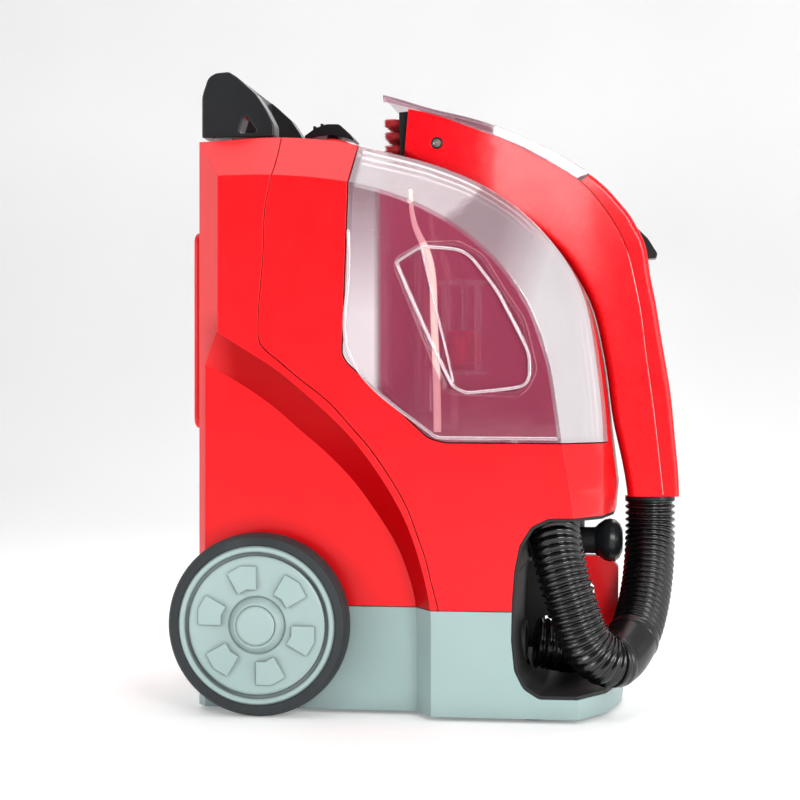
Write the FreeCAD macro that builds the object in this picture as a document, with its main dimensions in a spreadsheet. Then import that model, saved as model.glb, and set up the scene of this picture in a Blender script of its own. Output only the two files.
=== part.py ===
import FreeCAD, Part
import Sketcher
import math
import os
from FreeCAD import Placement, Rotation, Vector

# Portable spot extractor: wheeled housing with two tanks, telescopic handle, hose and hand tool.
# Forward is +X, left is +Y, up is +Z and the ground is Z = 0. The outer form is symmetric about
# the XZ plane. Every object is drawn in a working frame whose X zero is 13.7 mm behind the
# middle of the overall length; the final Placement shifts it there.

# ---------------------------------------------------------------- driving dimensions
CELLS = [
    # housing
    ("x_shift", -13.7), ("half_width", 118.0), ("bevel_half", 84.0), ("nose_half", 30.0),
    ("wall", 3.0), ("base_bottom", 3.0), ("base_top", 75.6), ("seam_gap", 0.5),
    ("rear_half", 95.0), ("spine_half", 54.6), ("liner_wall", 2.0), ("foot_r", 11.0),
    # wheels and axle
    ("wheel_x", -100.0), ("wheel_r", 64.0), ("rim_r", 55.5), ("tyre_in", 98.0),
    ("axle_r", 5.0), ("axle_half", 121.0), ("hub_bore", 5.05), ("cap_r", 13.6), ("boss_r", 19.0),
    # tanks
    ("tank_gap", 1.0), ("tank_wall", 2.6), ("lobe_in", 56.0), ("float_r", 13.0),
    # hand tool and hose
    ("tool_wall", 2.4), ("tool_half", 22.0), ("head_half", 49.0), ("brush_half", 41.0),
    ("trigger_half", 8.0), ("screw_r", 3.9), ("hose_r", 18.4), ("keeper_half", 7.0),
    # telescopic handle
    ("tube_x", -135.8), ("tube_y", 64.0), ("guide_lx", 20.0), ("guide_ly", 18.0),
    ("mid_lx", 16.8), ("mid_ly", 14.8), ("inner_lx", 13.6), ("inner_ly", 11.6),
    ("tube_wall", 1.4), ("tube_base", 112.0), ("grip_half", 74.0), ("cheek", 19.0),
    ("button_l", 26.0),
    # motor and pump
    ("motor_x", -66.0), ("motor_r", 36.0), ("motor_bot", 128.0), ("motor_top", 206.0),
    ("fan_r", 41.5), ("pump_l", 70.0), ("pump_w", 42.0),
]
doc = FreeCAD.newDocument("spot_extractor")
sheet = doc.addObject("Spreadsheet::Sheet", "Dims")
for row, (alias, value) in enumerate(CELLS, 1):
    sheet.set("A%d" % row, alias)
    sheet.set("B%d" % row, str(value))
    sheet.setAlias("B%d" % row, alias)
doc.recompute()


def dim(alias):
    return float(sheet.get(alias))


SHIFT = dim("x_shift")
HALF_WIDTH = dim("half_width")
WALL = dim("wall")
BASE_BOTTOM = dim("base_bottom")
BASE_FLOOR = BASE_BOTTOM + WALL
SEAM_GAP = dim("seam_gap")
WHEEL_X, AXLE_Z = dim("wheel_x"), dim("wheel_r")
LOBE_IN = dim("lobe_in")
TUBE_X, TUBE_Y = dim("tube_x"), dim("tube_y")
MOTOR_X, MOTOR_BOTTOM, MOTOR_TOP = dim("motor_x"), dim("motor_bot"), dim("motor_top")
TOOL_HALF, HEAD_HALF = dim("tool_half"), dim("head_half")

# Places shared by several pieces.
SIDES = (-1, 1)                     # right, left
BAY_GAP = 0.3                       # between the hose bay liner and the housings
BAY_WALL = BAY_GAP + WALL - 0.5     # from the liner to the inside of the housings
CRADLE_GAP = 1.4                    # between the hand tool and the spine
FOOT_X, FOOT_Y = 92.0, 92.0
SADDLE_Y = 70.0
DOCK_X, DOCK_Y = 70.0, 84.0         # tank docks
PIPE_X, PIPE_Y = 12.0, -72.0        # standpipe of the recovery tank
FLOAT_X, FLOAT_Y = 40.0, -86.0
PEG_Z = 116.8
PORT_Y, PORT_Z = -43.0, 46.0        # hose port in the back of the bay
ROCKER_X, PIN_Z = -66.0, 398.0      # rocker switch and its pin
SCREW_X, SCREW_Z = 17.8, 406.5      # screws in the tool head
HOOK_LOW_Z, HOOK_HIGH_Z = 228.0, 298.0
BEZEL_BOTTOM, BEZEL_HALF = 380.5, 81.0

parts = []                          # (document object, node name)


# ---------------------------------------------------------------- document helpers
def keep(obj, name):
    """Register a finished piece under its node name."""
    obj.Label = name
    parts.append((obj, name))


def keep_shape(name, shape):
    """Register a piece whose shape comes from Part's own functions."""
    obj = doc.addObject("Part::Feature", name)
    obj.Shape = shape
    obj.Placement = Placement(Vector(SHIFT, 0, 0), Rotation())
    keep(obj, name)


def keep_shifted(obj, name):
    """Shift a feature made of primitives to its final place and register it."""
    base = obj.Placement.Base
    obj.Placement = Placement(Vector(base.x + SHIFT, base.y, base.z), obj.Placement.Rotation)
    keep(obj, name)


def assign(obj, prop, value):
    """Set a property to a number, or bind it to an expression."""
    if isinstance(value, str):
        obj.setExpression(prop, value)
    else:
        setattr(obj, prop, value)


def cyl(name, radius, height, position, axis=(0, 0, 1)):
    obj = doc.addObject("Part::Cylinder", name)
    assign(obj, "Radius", radius)
    assign(obj, "Height", height)
    obj.Placement = Placement(Vector(*position), Rotation(Vector(0, 0, 1), Vector(*axis)))
    return obj


def box(name, length, width, height, position):
    obj = doc.addObject("Part::Box", name)
    assign(obj, "Length", length)
    assign(obj, "Width", width)
    assign(obj, "Height", height)
    obj.Placement = Placement(Vector(*position), Rotation())
    return obj


def cut(name, base, tool):
    obj = doc.addObject("Part::Cut", name)
    obj.Base, obj.Tool = base, tool
    return obj


def fuse(name, *shapes):
    obj = doc.addObject("Part::MultiFuse", name)
    obj.Shapes = list(shapes)
    return obj


# ---------------------------------------------------------------- shape helpers
def in_xz(point, y=0.0):
    return Vector(point[0], y, point[1])


def rounded_wire(points, radii=0):
    """Closed wire in the XZ plane with an arc at each corner whose radius isn't 0."""
    count = len(points)
    if not isinstance(radii, list):
        radii = [radii] * count
    corners = []                    # start, middle and end of each corner's arc
    for i in range(count):
        corner = in_xz(points[i])
        back = in_xz(points[i - 1]) - corner
        ahead = in_xz(points[(i + 1) % count]) - corner
        room = 0.49 * min(back.Length, ahead.Length)
        back.normalize()
        ahead.normalize()
        angle = back.getAngle(ahead)
        if radii[i] <= 0 or angle > math.pi - 1e-3:
            corners.append((corner, None, corner))
            continue
        trim = min(radii[i] / math.tan(angle / 2), room)
        radius = trim * math.tan(angle / 2)
        bisector = back + ahead
        bisector.normalize()
        centre = corner + bisector * (radius / math.sin(angle / 2))
        corners.append((corner + back * trim, centre - bisector * radius, corner + ahead * trim))
    edges = []
    for i, (start, middle, end) in enumerate(corners):
        if middle is not None:
            edges.append(Part.Arc(start, middle, end).toShape())
        following = corners[(i + 1) % count][0]
        if (following - end).Length > 1e-6:
            edges.append(Part.LineSegment(end, following).toShape())
    return Part.Wire(edges)


def smooth(vectors):
    curve = Part.BSplineCurve()
    curve.interpolate(vectors)
    return curve.toShape()


def segment_wire(segments, y=0.0):
    """Wire of segments: one of 2 points is a line, a longer one is a smooth curve."""
    edges = []
    for segment in segments:
        points = [in_xz(p, y) for p in segment]
        if len(points) == 2:
            edges.append(Part.LineSegment(points[0], points[1]).toShape())
        else:
            edges.append(smooth(points))
    return Part.Wire(edges)


def band_wire(lower, upper):
    """Closed wire between two open lines that run the same way."""
    return segment_wire([lower, [lower[-1], upper[-1]], upper[::-1], [upper[0], lower[0]]])


def slab(wire, y0, y1):
    """Solid between y0 and y1 over a wire drawn at y = 0."""
    moved = wire.copy()
    moved.translate(Vector(0, y0, 0))
    return Part.Face(moved).extrude(Vector(0, y1 - y0, 0))


def inset(points, depth):
    """Move a closed outline inward by depth; a negative depth grows it.

    The outline is clockwise as seen along +Y, with X right and Z up.
    """
    count = len(points)
    moved = []
    for i in range(count):
        (ax, az), (bx, bz), (cx, cz) = points[i - 1], points[i], points[(i + 1) % count]
        length1 = math.hypot(bx - ax, bz - az)
        length2 = math.hypot(cx - bx, cz - bz)
        normal1 = ((bz - az) / length1, -(bx - ax) / length1)
        normal2 = ((cz - bz) / length2, -(cx - bx) / length2)
        scale = 1 + normal1[0] * normal2[0] + normal1[1] * normal2[1]
        moved.append((bx + (normal1[0] + normal2[0]) / scale * depth,
                      bz + (normal1[1] + normal2[1]) / scale * depth))
    return moved


def shifted(line, offset):
    """Open line moved to its left by offset (walking along it, X right and Z up)."""
    moved = []
    for i, (x, z) in enumerate(line):
        before, after = line[max(i - 1, 0)], line[min(i + 1, len(line) - 1)]
        length = math.hypot(after[0] - before[0], after[1] - before[1])
        moved.append((x - (after[1] - before[1]) / length * offset,
                      z + (after[0] - before[0]) / length * offset))
    return moved


def block(x0, x1, y0, y1, z0, z1):
    return Part.makeBox(x1 - x0, y1 - y0, z1 - z0, Vector(x0, y0, z0))


def rod(radius, start, end):
    start, end = Vector(*start), Vector(*end)
    return Part.makeCylinder(radius, (end - start).Length, start, end - start)


def rod_x(radius, y, z, x0, x1):
    return rod(radius, (x0, y, z), (x1, y, z))


def rod_y(radius, x, z, y0, y1):
    return rod(radius, (x, y0, z), (x, y1, z))


def rod_z(radius, x, y, z0, z1):
    return rod(radius, (x, y, z0), (x, y, z1))


def mirror(shape):
    return shape.mirror(Vector(0, 0, 0), Vector(0, 1, 0))


def rounded(shape, radius, pick):
    """Shape with its picked edges filleted."""
    edges = [edge for edge in shape.Edges if pick(edge)]
    attempts = ((shape.makeFillet, radius), (shape.makeFillet, 0.5 * radius),
                (shape.makeChamfer, 0.5 * radius))
    for make, size in attempts:
        # A fillet that the kernel can't make falls back to a smaller one, then to a chamfer.
        try:
            result = make(size, edges)
        except Part.OCCError:
            continue
        if result.isValid() and result.Solids:
            return result
    return shape


def near(edge, x, y, z, reach):
    """Whether the edge passes within reach of (x, y, z), mirrored to the edge's own side."""
    target = Part.Vertex(Vector(x, math.copysign(y, edge.CenterOfMass.y), z))
    return edge.distToShape(target)[0] < reach


def one(shape):
    """The biggest solid of a result, without the slivers a boolean may leave."""
    return sorted(shape.Solids, key=lambda solid: -solid.Volume)[0]


def bend_pipe(points, bends, radius, bore=0.0):
    """Round tube along a polyline whose corners are arcs of the given bend radii."""
    if bore:
        return bend_pipe(points, bends, radius).cut(bend_pipe(points, bends, bore))
    points = [Vector(*p) for p in points]
    current, pieces = points[0], []
    for i in range(1, len(points)):
        along = (points[i] - points[i - 1]).normalize()
        if i == len(points) - 1:
            length = (points[i] - current).Length
            pieces.append(Part.makeCylinder(radius, length, current, along))
            break
        leaving = (points[i + 1] - points[i]).normalize()
        angle = along.getAngle(leaving)
        bend = bends[i - 1]
        start = points[i] - along * (bend * math.tan(angle / 2))
        normal = along.cross(leaving).normalize()
        centre = start + normal.cross(along) * bend
        pieces.append(Part.makeCylinder(radius, (start - current).Length, current, along))
        disc = Part.Face(Part.Wire(Part.Circle(start, along, radius).toShape()))
        pieces.append(disc.revolve(centre, normal, math.degrees(angle)))
        current = points[i] + leaving * (bend * math.tan(angle / 2))
    return one(pieces[0].fuse(pieces[1:]).removeSplitter())


# ---------------------------------------------------------------- body and sketch helpers
def add_sketch(body, name, role, lift=0.0):
    sketch = body.newObject("Sketcher::SketchObject", name)
    plane = [f for f in body.Origin.OriginFeatures if f.Role == role][0]
    sketch.AttachmentSupport = [(plane, "")]
    sketch.MapMode = "FlatFace"
    sketch.AttachmentOffset = Placement(Vector(0, 0, lift), Rotation())
    return sketch


def value_of(value):
    """Number for a number or for a spaced sum of products such as '2*Dims.rim_r - 3'."""
    if not isinstance(value, str):
        return float(value)
    total, sign = 0.0, 1.0
    for token in value.split():
        if token in ("+", "-"):
            sign = 1.0 if token == "+" else -1.0
            continue
        product = 1.0
        for factor in token.split("*"):
            product *= dim(factor[5:]) if factor.startswith("Dims.") else float(factor)
        total += sign * product
    return total


def constrain(sketch, kind, args, value):
    """Dimension in a sketch, given as a number or as an expression of the sheet's aliases."""
    index = sketch.addConstraint(Sketcher.Constraint(kind, *args, value_of(value)))
    if isinstance(value, str):
        sketch.setExpression("Constraints[%d]" % index, value)


def locate(sketch, geometry, point, x, y):
    """Dimension a point from the origin; a coordinate of 0 puts it on the sketch's axis."""
    for kind, axis, value in (("DistanceX", -2, x), ("DistanceY", -1, y)):
        if abs(value_of(value)) < 1e-9:
            sketch.addConstraint(Sketcher.Constraint("PointOnObject", geometry, point, axis))
        else:
            constrain(sketch, kind, (-1, 1, geometry, point), value)


def polygon(sketch, points):
    """Closed polygon whose every corner is dimensioned from the origin."""
    corners = [Vector(value_of(x), value_of(y), 0) for x, y in points]
    count = len(points)
    for i in range(count):
        sketch.addGeometry(Part.LineSegment(corners[i], corners[(i + 1) % count]), False)
    for i in range(count):
        sketch.addConstraint(Sketcher.Constraint("Coincident", i, 2, (i + 1) % count, 1))
    for i, (x, y) in enumerate(points):
        locate(sketch, i, 1, x, y)


def circle(sketch, radius):
    """Circle about the sketch's origin."""
    shape = Part.Circle(Vector(0, 0, 0), Vector(0, 0, 1), radius)
    geometry = sketch.addGeometry(shape, False)
    locate(sketch, geometry, 3, 0, 0)
    constrain(sketch, "Radius", (geometry,), radius)


def add_feature(body, kind, name, sketch, **properties):
    feature = body.newObject("PartDesign::" + kind, name)
    feature.Profile = sketch
    for prop, value in properties.items():
        setattr(feature, prop, value)
    sketch.Visibility = False
    return feature


def turned(name, points, position, axis=(0, 0, 1), spin=0.0):
    """Body turned from a half-profile of (radius, height) points about the given axis."""
    body = doc.addObject("PartDesign::Body", name)
    sketch = add_sketch(body, name + "_profile", "XZ_Plane")
    polygon(sketch, points)
    turn = add_feature(body, "Revolution", name + "_turn", sketch, Angle=360.0)
    turn.ReferenceAxis = (sketch, ["V_Axis"])
    x, y, z = position
    upright = Rotation(Vector(0, 0, 1), Vector(*axis))
    turning = Rotation(Vector(*axis), spin)
    body.Placement = Placement(Vector(x + SHIFT, y, z), turning.multiply(upright))
    return body


def pad_ring(body, sketch_name, pad_name, lift, points, length, count):
    """Pad repeated evenly around a turned body's axis."""
    sketch = add_sketch(body, sketch_name, "XY_Plane", lift)
    polygon(sketch, points)
    pad = add_feature(body, "Pad", pad_name, sketch, Length=length)
    pattern = body.newObject("PartDesign::PolarPattern", pad_name + "s")
    pattern.Originals = [pad]
    pattern.Axis = (sketch, ["N_Axis"])
    pattern.Angle = 360.0
    pattern.Occurrences = count
    body.Tip = pattern


# ---------------------------------------------------------------- outer envelope
# Sections (x, z), all in this order: rear bottom, rear top, rear of the deck, two deck points,
# brow, tank arc, then the front: front corner, nose, top of the hose bay, front bottom.
DECK_START, BROW, FRONT = 2, 5, 19      # where the smooth curves of a section meet its lines
REAR_AND_DECK = [(-149.5, BASE_BOTTOM), (-149.5, 405.5), (-126.0, 406.5),
                 (-87.4, 407.6), (-62.0, 405.7), (-33.0, 400.8)]
UPPER_ARC = [(-11.9, 395.4), (9.5, 389.7), (30.9, 382.3),
             (52.1, 372.7), (66.3, 364.1), (80.3, 354.0)]
BEVEL_SECTION = REAR_AND_DECK + UPPER_ARC + [
    (94.4, 340.6), (107.5, 325.0), (118.0, 308.6), (125.4, 291.5),
    (130.4, 269.6), (134.2, 243.0), (136.8, 220.6),
    (138.4, 200.0), (138.4, 158.0), (138.0, 139.0), (141.0, BASE_BOTTOM)]
NOSE_SECTION = REAR_AND_DECK + UPPER_ARC + [
    (94.8, 341.0), (108.2, 325.6), (119.2, 309.4), (127.2, 292.3),
    (132.8, 270.2), (137.2, 243.6), (140.0, 221.0),
    (142.0, 201.5), (147.0, 160.0), (145.0, 139.0), (150.0, BASE_BOTTOM)]
SIDE_SECTION = [
    (-128.0, BASE_BOTTOM), (-128.0, 377.0), (-122.0, 377.2),
    (-84.8, 376.8), (-60.0, 374.8), (-34.6, 371.1),
    (-14.0, 366.2), (-0.3, 361.4), (13.7, 355.6), (27.6, 348.3), (41.4, 339.4), (55.2, 328.3),
    (69.0, 314.8), (80.3, 300.6), (89.6, 285.6), (96.9, 267.5),
    (103.3, 246.0), (107.3, 223.0), (109.6, 207.0),
    (112.0, 191.0), (117.6, 158.0), (119.6, 139.0), (122.5, BASE_BOTTOM)]


def section_wire(section, y, depth):
    points = inset(section, depth)
    segments = [points[0:2], points[1:3], points[DECK_START:BROW + 1], points[BROW:FRONT + 1]]
    segments += [points[i:i + 2] for i in range(FRONT, len(points) - 1)]
    segments.append([points[-1], points[0]])
    return segment_wire(segments, y)


def envelope(depth):
    """The machine's outer form, moved inward by depth."""
    stations = [(SIDE_SECTION, HALF_WIDTH - depth),
                (BEVEL_SECTION, dim("bevel_half") - 0.4 * depth),
                (NOSE_SECTION, dim("nose_half") - 0.2 * depth)]
    wires = [section_wire(section, -y, depth) for section, y in stations]
    wires += [section_wire(section, y, depth) for section, y in reversed(stations)]
    return Part.makeLoft(wires, True, True)


# Wheel bay: the rear side walls stand further in behind a sloped arch-shaped band.
# Points (x, z) run from the rear to the front foot of the arch.
ARCH_OUT = [
    (-131.2, 269.7), (-106.2, 254.2), (-88.3, 242.9), (-70.6, 229.0), (-52.9, 213.6),
    (-35.3, 196.3), (-21.2, 179.0), (-7.2, 158.3), (3.2, 139.1), (10.2, 121.9),
    (15.8, 103.3), (19.2, 89.5), (21.2, 77.1), (21.8, 60.0)]
ARCH_IN = [
    (-128.1, 238.3), (-110.0, 227.7), (-91.9, 214.9), (-73.9, 199.4), (-59.6, 187.5),
    (-45.3, 174.2), (-31.0, 158.1), (-20.4, 143.4), (-9.7, 127.4), (-2.6, 114.1),
    (3.0, 99.5), (6.5, 87.6), (8.7, 75.1), (9.4, 60.0)]
ARCH_REAR, ARCH_BOTTOM = -175.0, -20.0


def arch_wire(line, rear_z, y, growth):
    points = [(ARCH_REAR, rear_z)] + line
    points += [(line[-1][0], ARCH_BOTTOM), (ARCH_REAR, ARCH_BOTTOM)]
    points = inset(points, -growth)
    foot = len(line)
    return segment_wire([points[:foot + 1], points[foot:foot + 2], points[foot + 1:],
                         [points[-1], points[0]]], y)


def arch(growth, side):
    """Room for one wheel, grown by growth."""
    inner = arch_wire(ARCH_IN, 258.0, (dim("rear_half") - growth) * side, growth)
    middle = arch_wire(ARCH_OUT, 296.0, side * 116.5, growth)
    outer = arch_wire(ARCH_OUT, 296.0, side * 130.0, growth)
    return Part.makeLoft([inner, middle, outer], True, True)


# Seam (x, z) between the front and rear housings, from above the deck down to the base.
SEAM = [
    (-87.5, 440.0), (-89.2, 400.0), (-89.8, 376.2), (-93.3, 360.2), (-95.5, 325.4), (-98.3, 290.5),
    (-99.2, 272.0), (-97.6, 260.0), (-88.3, 250.6), (-70.6, 235.9), (-49.4, 219.2), (-35.3, 203.9),
    (-21.2, 188.0), (-10.7, 173.5), (-0.3, 157.0), (6.7, 143.2), (13.7, 124.0), (18.5, 110.2),
    (22.7, 93.0), (25.5, 82.7), (26.9, 76.6), (27.6, 60.0)]


def rear_region(offset):
    """Everything behind the seam moved by offset in both X and Z."""
    line = [(x + offset, z + offset) for x, z in SEAM]
    bottom, rear = -30.0, -200.0
    wire = segment_wire([
        line, [line[-1], (line[-1][0], bottom)], [(line[-1][0], bottom), (rear, bottom)],
        [(rear, bottom), (rear, line[0][1])], [(rear, line[0][1]), line[0]]])
    return slab(wire, -140, 140)


# Tank outline (x, z) seen from the side and its corner radii; its rear edge leans forward.
TANK = [(-35.2, 371.3), (-31.0, 440.0), (190.0, 440.0), (190.0, 191.6), (113.5, 191.4),
        (32.0, 191.8), (20.6, 194.6), (-35.9, 246.5), (-39.4, 252.2)]
TANK_RADII = [0, 0, 0, 0, 0, 14, 14, 4, 8]


def tank_region(depth, y0, y1):
    radii = [max(r - depth, 0.0) if r else 0 for r in TANK_RADII]
    return slab(rounded_wire(inset(TANK, depth), radii), y0, y1)


def tank_pockets(growth):
    """Room for both tanks with the gap around them, grown by growth."""
    inner_y = LOBE_IN - dim("tank_gap") - growth
    depth = -(dim("tank_gap") + growth)
    return tank_region(depth, -130, -inner_y).fuse(tank_region(depth, inner_y, 130))


# Hose bay (x, z) and its corner radii: open to the front and to both sides.
BAY = [(77.3, 56.1), (78.0, 83.5), (79.6, 104.0), (83.0, 121.0), (91.0, 134.0), (103.0, 139.6),
       (175.0, 140.2), (175.0, 17.2), (96.0, 16.9), (85.4, 23.6), (79.4, 35.6)]
BAY_RADII = [10, 20, 20, 14, 8, 8, 0, 0, 8, 10, 10]
# Taller middle part of the bay, which stays inside the envelope.
BAY_TOP = [(79.0, 100.0), (79.0, 169.0), (134.0, 169.0), (134.0, 100.0)]


def bay(growth):
    radii = [r + growth if r else 0 for r in BAY_RADII]
    low = slab(rounded_wire(inset(BAY, -growth), radii), -130, 130)
    top_wire = rounded_wire(inset(BAY_TOP, -growth), [0, 8 + growth, 8 + growth, 0])
    high = slab(top_wire, -(106 + growth), 106 + growth)
    return low.fuse(high.common(envelope(WALL + 1.0 + (2.4 - growth))))


# The hand tool rests on the top of the spine. Its three lines (x, z) run from the head to the
# foot of the handle: underside, seam under the outer spine, and outer edge.
TOOL_LOW = [
    (-6.0, 397.8), (6.0, 391.0), (30.0, 380.0), (52.0, 368.5), (72.0, 354.5), (90.0, 341.0),
    (105.2, 327.5), (117.5, 310.5), (127.6, 291.0), (134.8, 264.3), (139.8, 235.2),
    (143.6, 206.0), (148.4, 184.2), (152.6, 162.4), (154.2, 150.3)]
TOOL_SEAM = [
    (-3.0, 431.5), (19.0, 426.0), (41.0, 418.0), (70.1, 407.0), (99.0, 392.6), (119.8, 379.8),
    (134.3, 364.2), (145.2, 348.0), (152.4, 333.4), (158.2, 311.5), (163.3, 286.0),
    (166.9, 256.9), (171.9, 220.6), (176.2, 184.3), (179.8, 150.3)]
TOOL_TOP = [
    (-22.0, 442.6), (-10.0, 439.2), (13.5, 431.8), (36.0, 426.3), (59.5, 419.3), (82.0, 410.5),
    (104.0, 399.7), (121.0, 389.8), (127.4, 385.4), (134.0, 380.2), (141.0, 373.6),
    (148.3, 365.2), (155.7, 355.9), (160.8, 347.1), (165.6, 337.7), (168.6, 326.3),
    (170.5, 312.2), (174.0, 294.4), (177.6, 272.2), (181.3, 250.1), (184.9, 228.0),
    (188.6, 191.1), (191.0, 163.7), (191.4, 150.3)]


def cradle(gap):
    """Wire around the room for the tool above its underside, with a margin of gap."""
    low = shifted(TOOL_LOW, -gap)
    low[-1] = (low[-1][0] + 0.4, 100.0)
    start = (low[0][0] - 6.0, 396.8 - gap)
    rear = (-48.0, 397.0 - gap)
    return segment_wire([
        [rear, start], [start] + low, [low[-1], (300.0, 100.0)],
        [(300.0, 100.0), (300.0, 500.0)], [(300.0, 500.0), (-48.0, 500.0)],
        [(-48.0, 500.0), rear]])


ENVELOPE = envelope(0.0)
ENVELOPE_IN = envelope(WALL)
CORE = ENVELOPE.cut(arch(0.0, -1).fuse(arch(0.0, 1)))
CAVITY = ENVELOPE_IN.cut(arch(WALL, -1).fuse(arch(WALL, 1)))
ABOVE_BASE = block(-200, 250, -150, 150, dim("base_top") + SEAM_GAP, 460)
BELOW_TOP = block(-200, 250, -150, 150, -10, dim("base_top"))


# ---------------------------------------------------------------- housings
def rocker_dome():
    """Dome on the deck around the rocker."""
    dome = Part.makeCylinder(30.0, 46.0, Vector(ROCKER_X, -23.0, 386.0), Vector(0, 1, 0))
    return rounded(dome, 9.0, lambda edge: True).common(block(-110, -20, -40, 40, 403.0, 430))


def front_housing():
    """Nose, spine, tank floor and side panels ahead of the seam."""
    outer = CORE.common(ABOVE_BASE).cut(rear_region(SEAM_GAP / 2))
    outer = outer.cut(tank_pockets(0.0)).cut(bay(BAY_GAP))
    inner = CAVITY.cut(tank_pockets(WALL)).cut(bay(BAY_WALL))
    half = dim("spine_half") + 6.0
    outer = outer.cut(slab(cradle(CRADLE_GAP), -half, half))
    inner = inner.cut(slab(cradle(CRADLE_GAP + WALL), -half - WALL, half + WALL))
    shell = outer.cut(inner)
    rocker_slot = block(ROCKER_X - 12.5, ROCKER_X + 12.5, -9.5, 9.5, 395.0, 430)
    shell = one(shell.fuse(rocker_dome()).cut(rocker_slot))
    for side in SIDES:
        shell = shell.cut(rod_z(14.6, DOCK_X, side * DOCK_Y, 175.0, 200.0))
    shell = shell.cut(rod_x(10.4, 0, PEG_Z, 70.0, 84.0))
    shell = shell.cut(rod_z(7.0, PIPE_X, PIPE_Y, 180.0, 215.0))
    keep_shape("front_housing", one(shell))


def rear_housing():
    """Shell behind the seam and above the base."""
    shell = CORE.common(ABOVE_BASE).common(rear_region(-SEAM_GAP / 2)).cut(bay(BAY_GAP))
    shell = shell.cut(CAVITY)
    shell = shell.cut(block(-160, -117.5, -BEZEL_HALF - 0.3, BEZEL_HALF + 0.3,
                            BEZEL_BOTTOM - 0.3, 420))
    shell = shell.cut(block(-160, -140, -46.0, 46.0, 205.0, 338.0))     # cord bay opening
    for i in range(6):                                                  # vent slots
        shell = shell.cut(block(-160, -140, -42.0, 42.0, 112.0 + 11 * i, 117.0 + 11 * i))
    keep_shape("rear_housing", one(shell))


def leg_hole(size, side, gap, z0, z1):
    """Room for one handle tube of the named size."""
    half_x, half_y = dim(size + "_lx") / 2, dim(size + "_ly") / 2
    return block(TUBE_X - half_x - gap, TUBE_X + half_x + gap,
                 side * TUBE_Y - half_y - gap, side * TUBE_Y + half_y + gap, z0, z1)


def handle_bezel():
    """Cap of the rear corner that the two handle legs pass through."""
    bezel = ENVELOPE.common(block(-160, -117.8, -BEZEL_HALF, BEZEL_HALF, BEZEL_BOTTOM, 420))
    bezel = bezel.cut(envelope(WALL).common(
        block(-160, -112, -BEZEL_HALF + 3, BEZEL_HALF - 3, BEZEL_BOTTOM - 1, 400)))
    for side in SIDES:
        bezel = bezel.cut(leg_hole("mid", side, 0.5, 370, 420))
    keep_shape("handle_bezel", one(bezel))


def rear_cover():
    """Raised tub that holds the wound power cord between two hooks."""
    cover = block(-159.8, -150.0, -60.0, 60.0, 200.0, 343.0)
    cover = rounded(cover, 8.0, lambda edge: abs(edge.BoundBox.XLength - 9.8) < 0.1)
    cover = rounded(cover, 2.5, lambda edge: edge.BoundBox.XMax < -159.7)
    for i in range(3):
        cover = cover.fuse(block(-161.4, -158.0, -40.0, 40.0, 326.0 + 6 * i, 329.0 + 6 * i))
    tub = block(-152.0, -116.0, -45.5, 45.5, 206.0, 337.0)
    tub = rounded(tub, 6.0, lambda edge: edge.BoundBox.XLength > 30)
    hollow = block(-165.0, -118.0, -43.5, 43.5, 208.0, 322.0)
    hollow = rounded(hollow, 6.0, lambda edge: edge.BoundBox.XLength > 30)
    cover = cover.fuse(tub).cut(hollow).cut(rod_x(5.05, 0, HOOK_HIGH_Z, -120.0, -110.0))
    keep_shape("rear_cover", one(cover))


def base_tray():
    """Foot of the machine with the wheel bay and the hose bay floor."""
    outer = CORE.common(BELOW_TOP).cut(bay(BAY_GAP))
    inner = CAVITY.cut(bay(BAY_WALL)).common(block(-200, 250, -150, 150, BASE_FLOOR, 120))
    shell = outer.cut(inner)
    for side in SIDES:
        shell = shell.cut(rod_y(6.0, WHEEL_X, AXLE_Z, side * 80, side * 130))
        shell = shell.cut(rod_z(dim("foot_r") - 5.0, FOOT_X, side * FOOT_Y, -1.0, 9.0))
    shell = shell.cut(rod_x(16.3, PORT_Y, PORT_Z, 60.0, 90.0))
    keep_shape("base_tray", one(shell))


def hose_bay_liner():
    liner = bay(0.0).cut(bay(-dim("liner_wall"))).common(envelope(0.6))
    liner = liner.cut(rod_x(10.4, 0, PEG_Z, 70, 100))
    liner = liner.cut(rod_x(16.5, PORT_Y, PORT_Z, 60, 90))
    # Middle web that stiffens the back of the bay under the peg.
    liner = liner.fuse(block(79.6, 99.0, -1.6, 1.6, 60.5, 101.0))
    liner = liner.fuse(block(79.6, 93.0, -1.6, 1.6, 37.0, 62.0))
    keep_shape("hose_bay_liner", one(liner))


# ---------------------------------------------------------------- wheels
# Half-profiles (radius, distance outward from the tyre's inner side).
# Hub: bored boss, dished web, groove and rim lip, with a shallow seat for the cap.
HUB_PROFILE = [
    ("Dims.hub_bore", 0.6), (14.0, 0.6), (16.0, 12.0), (46.0, 12.0), (49.0, 3.0),
    ("Dims.rim_r", 3.0), ("Dims.rim_r", 21.8), ("Dims.rim_r - 1.4", 23.4),
    ("Dims.rim_r - 3.6", 23.4), ("Dims.rim_r - 4.4", 22.4), ("Dims.rim_r - 4.6", 17.6),
    ("Dims.rim_r - 7.0", 17.6), ("Dims.rim_r - 7.4", 21.2), ("Dims.rim_r - 9.0", 21.9),
    (30.0, 20.4), ("Dims.boss_r + 1.6", 20.2), ("Dims.boss_r + 0.6", 19.0),
    ("Dims.boss_r", 20.2), ("Dims.cap_r + 2.0", 24.4), ("Dims.cap_r + 0.3", 24.4),
    ("Dims.cap_r + 0.3", 21.5), ("Dims.hub_bore", 21.5)]
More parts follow.
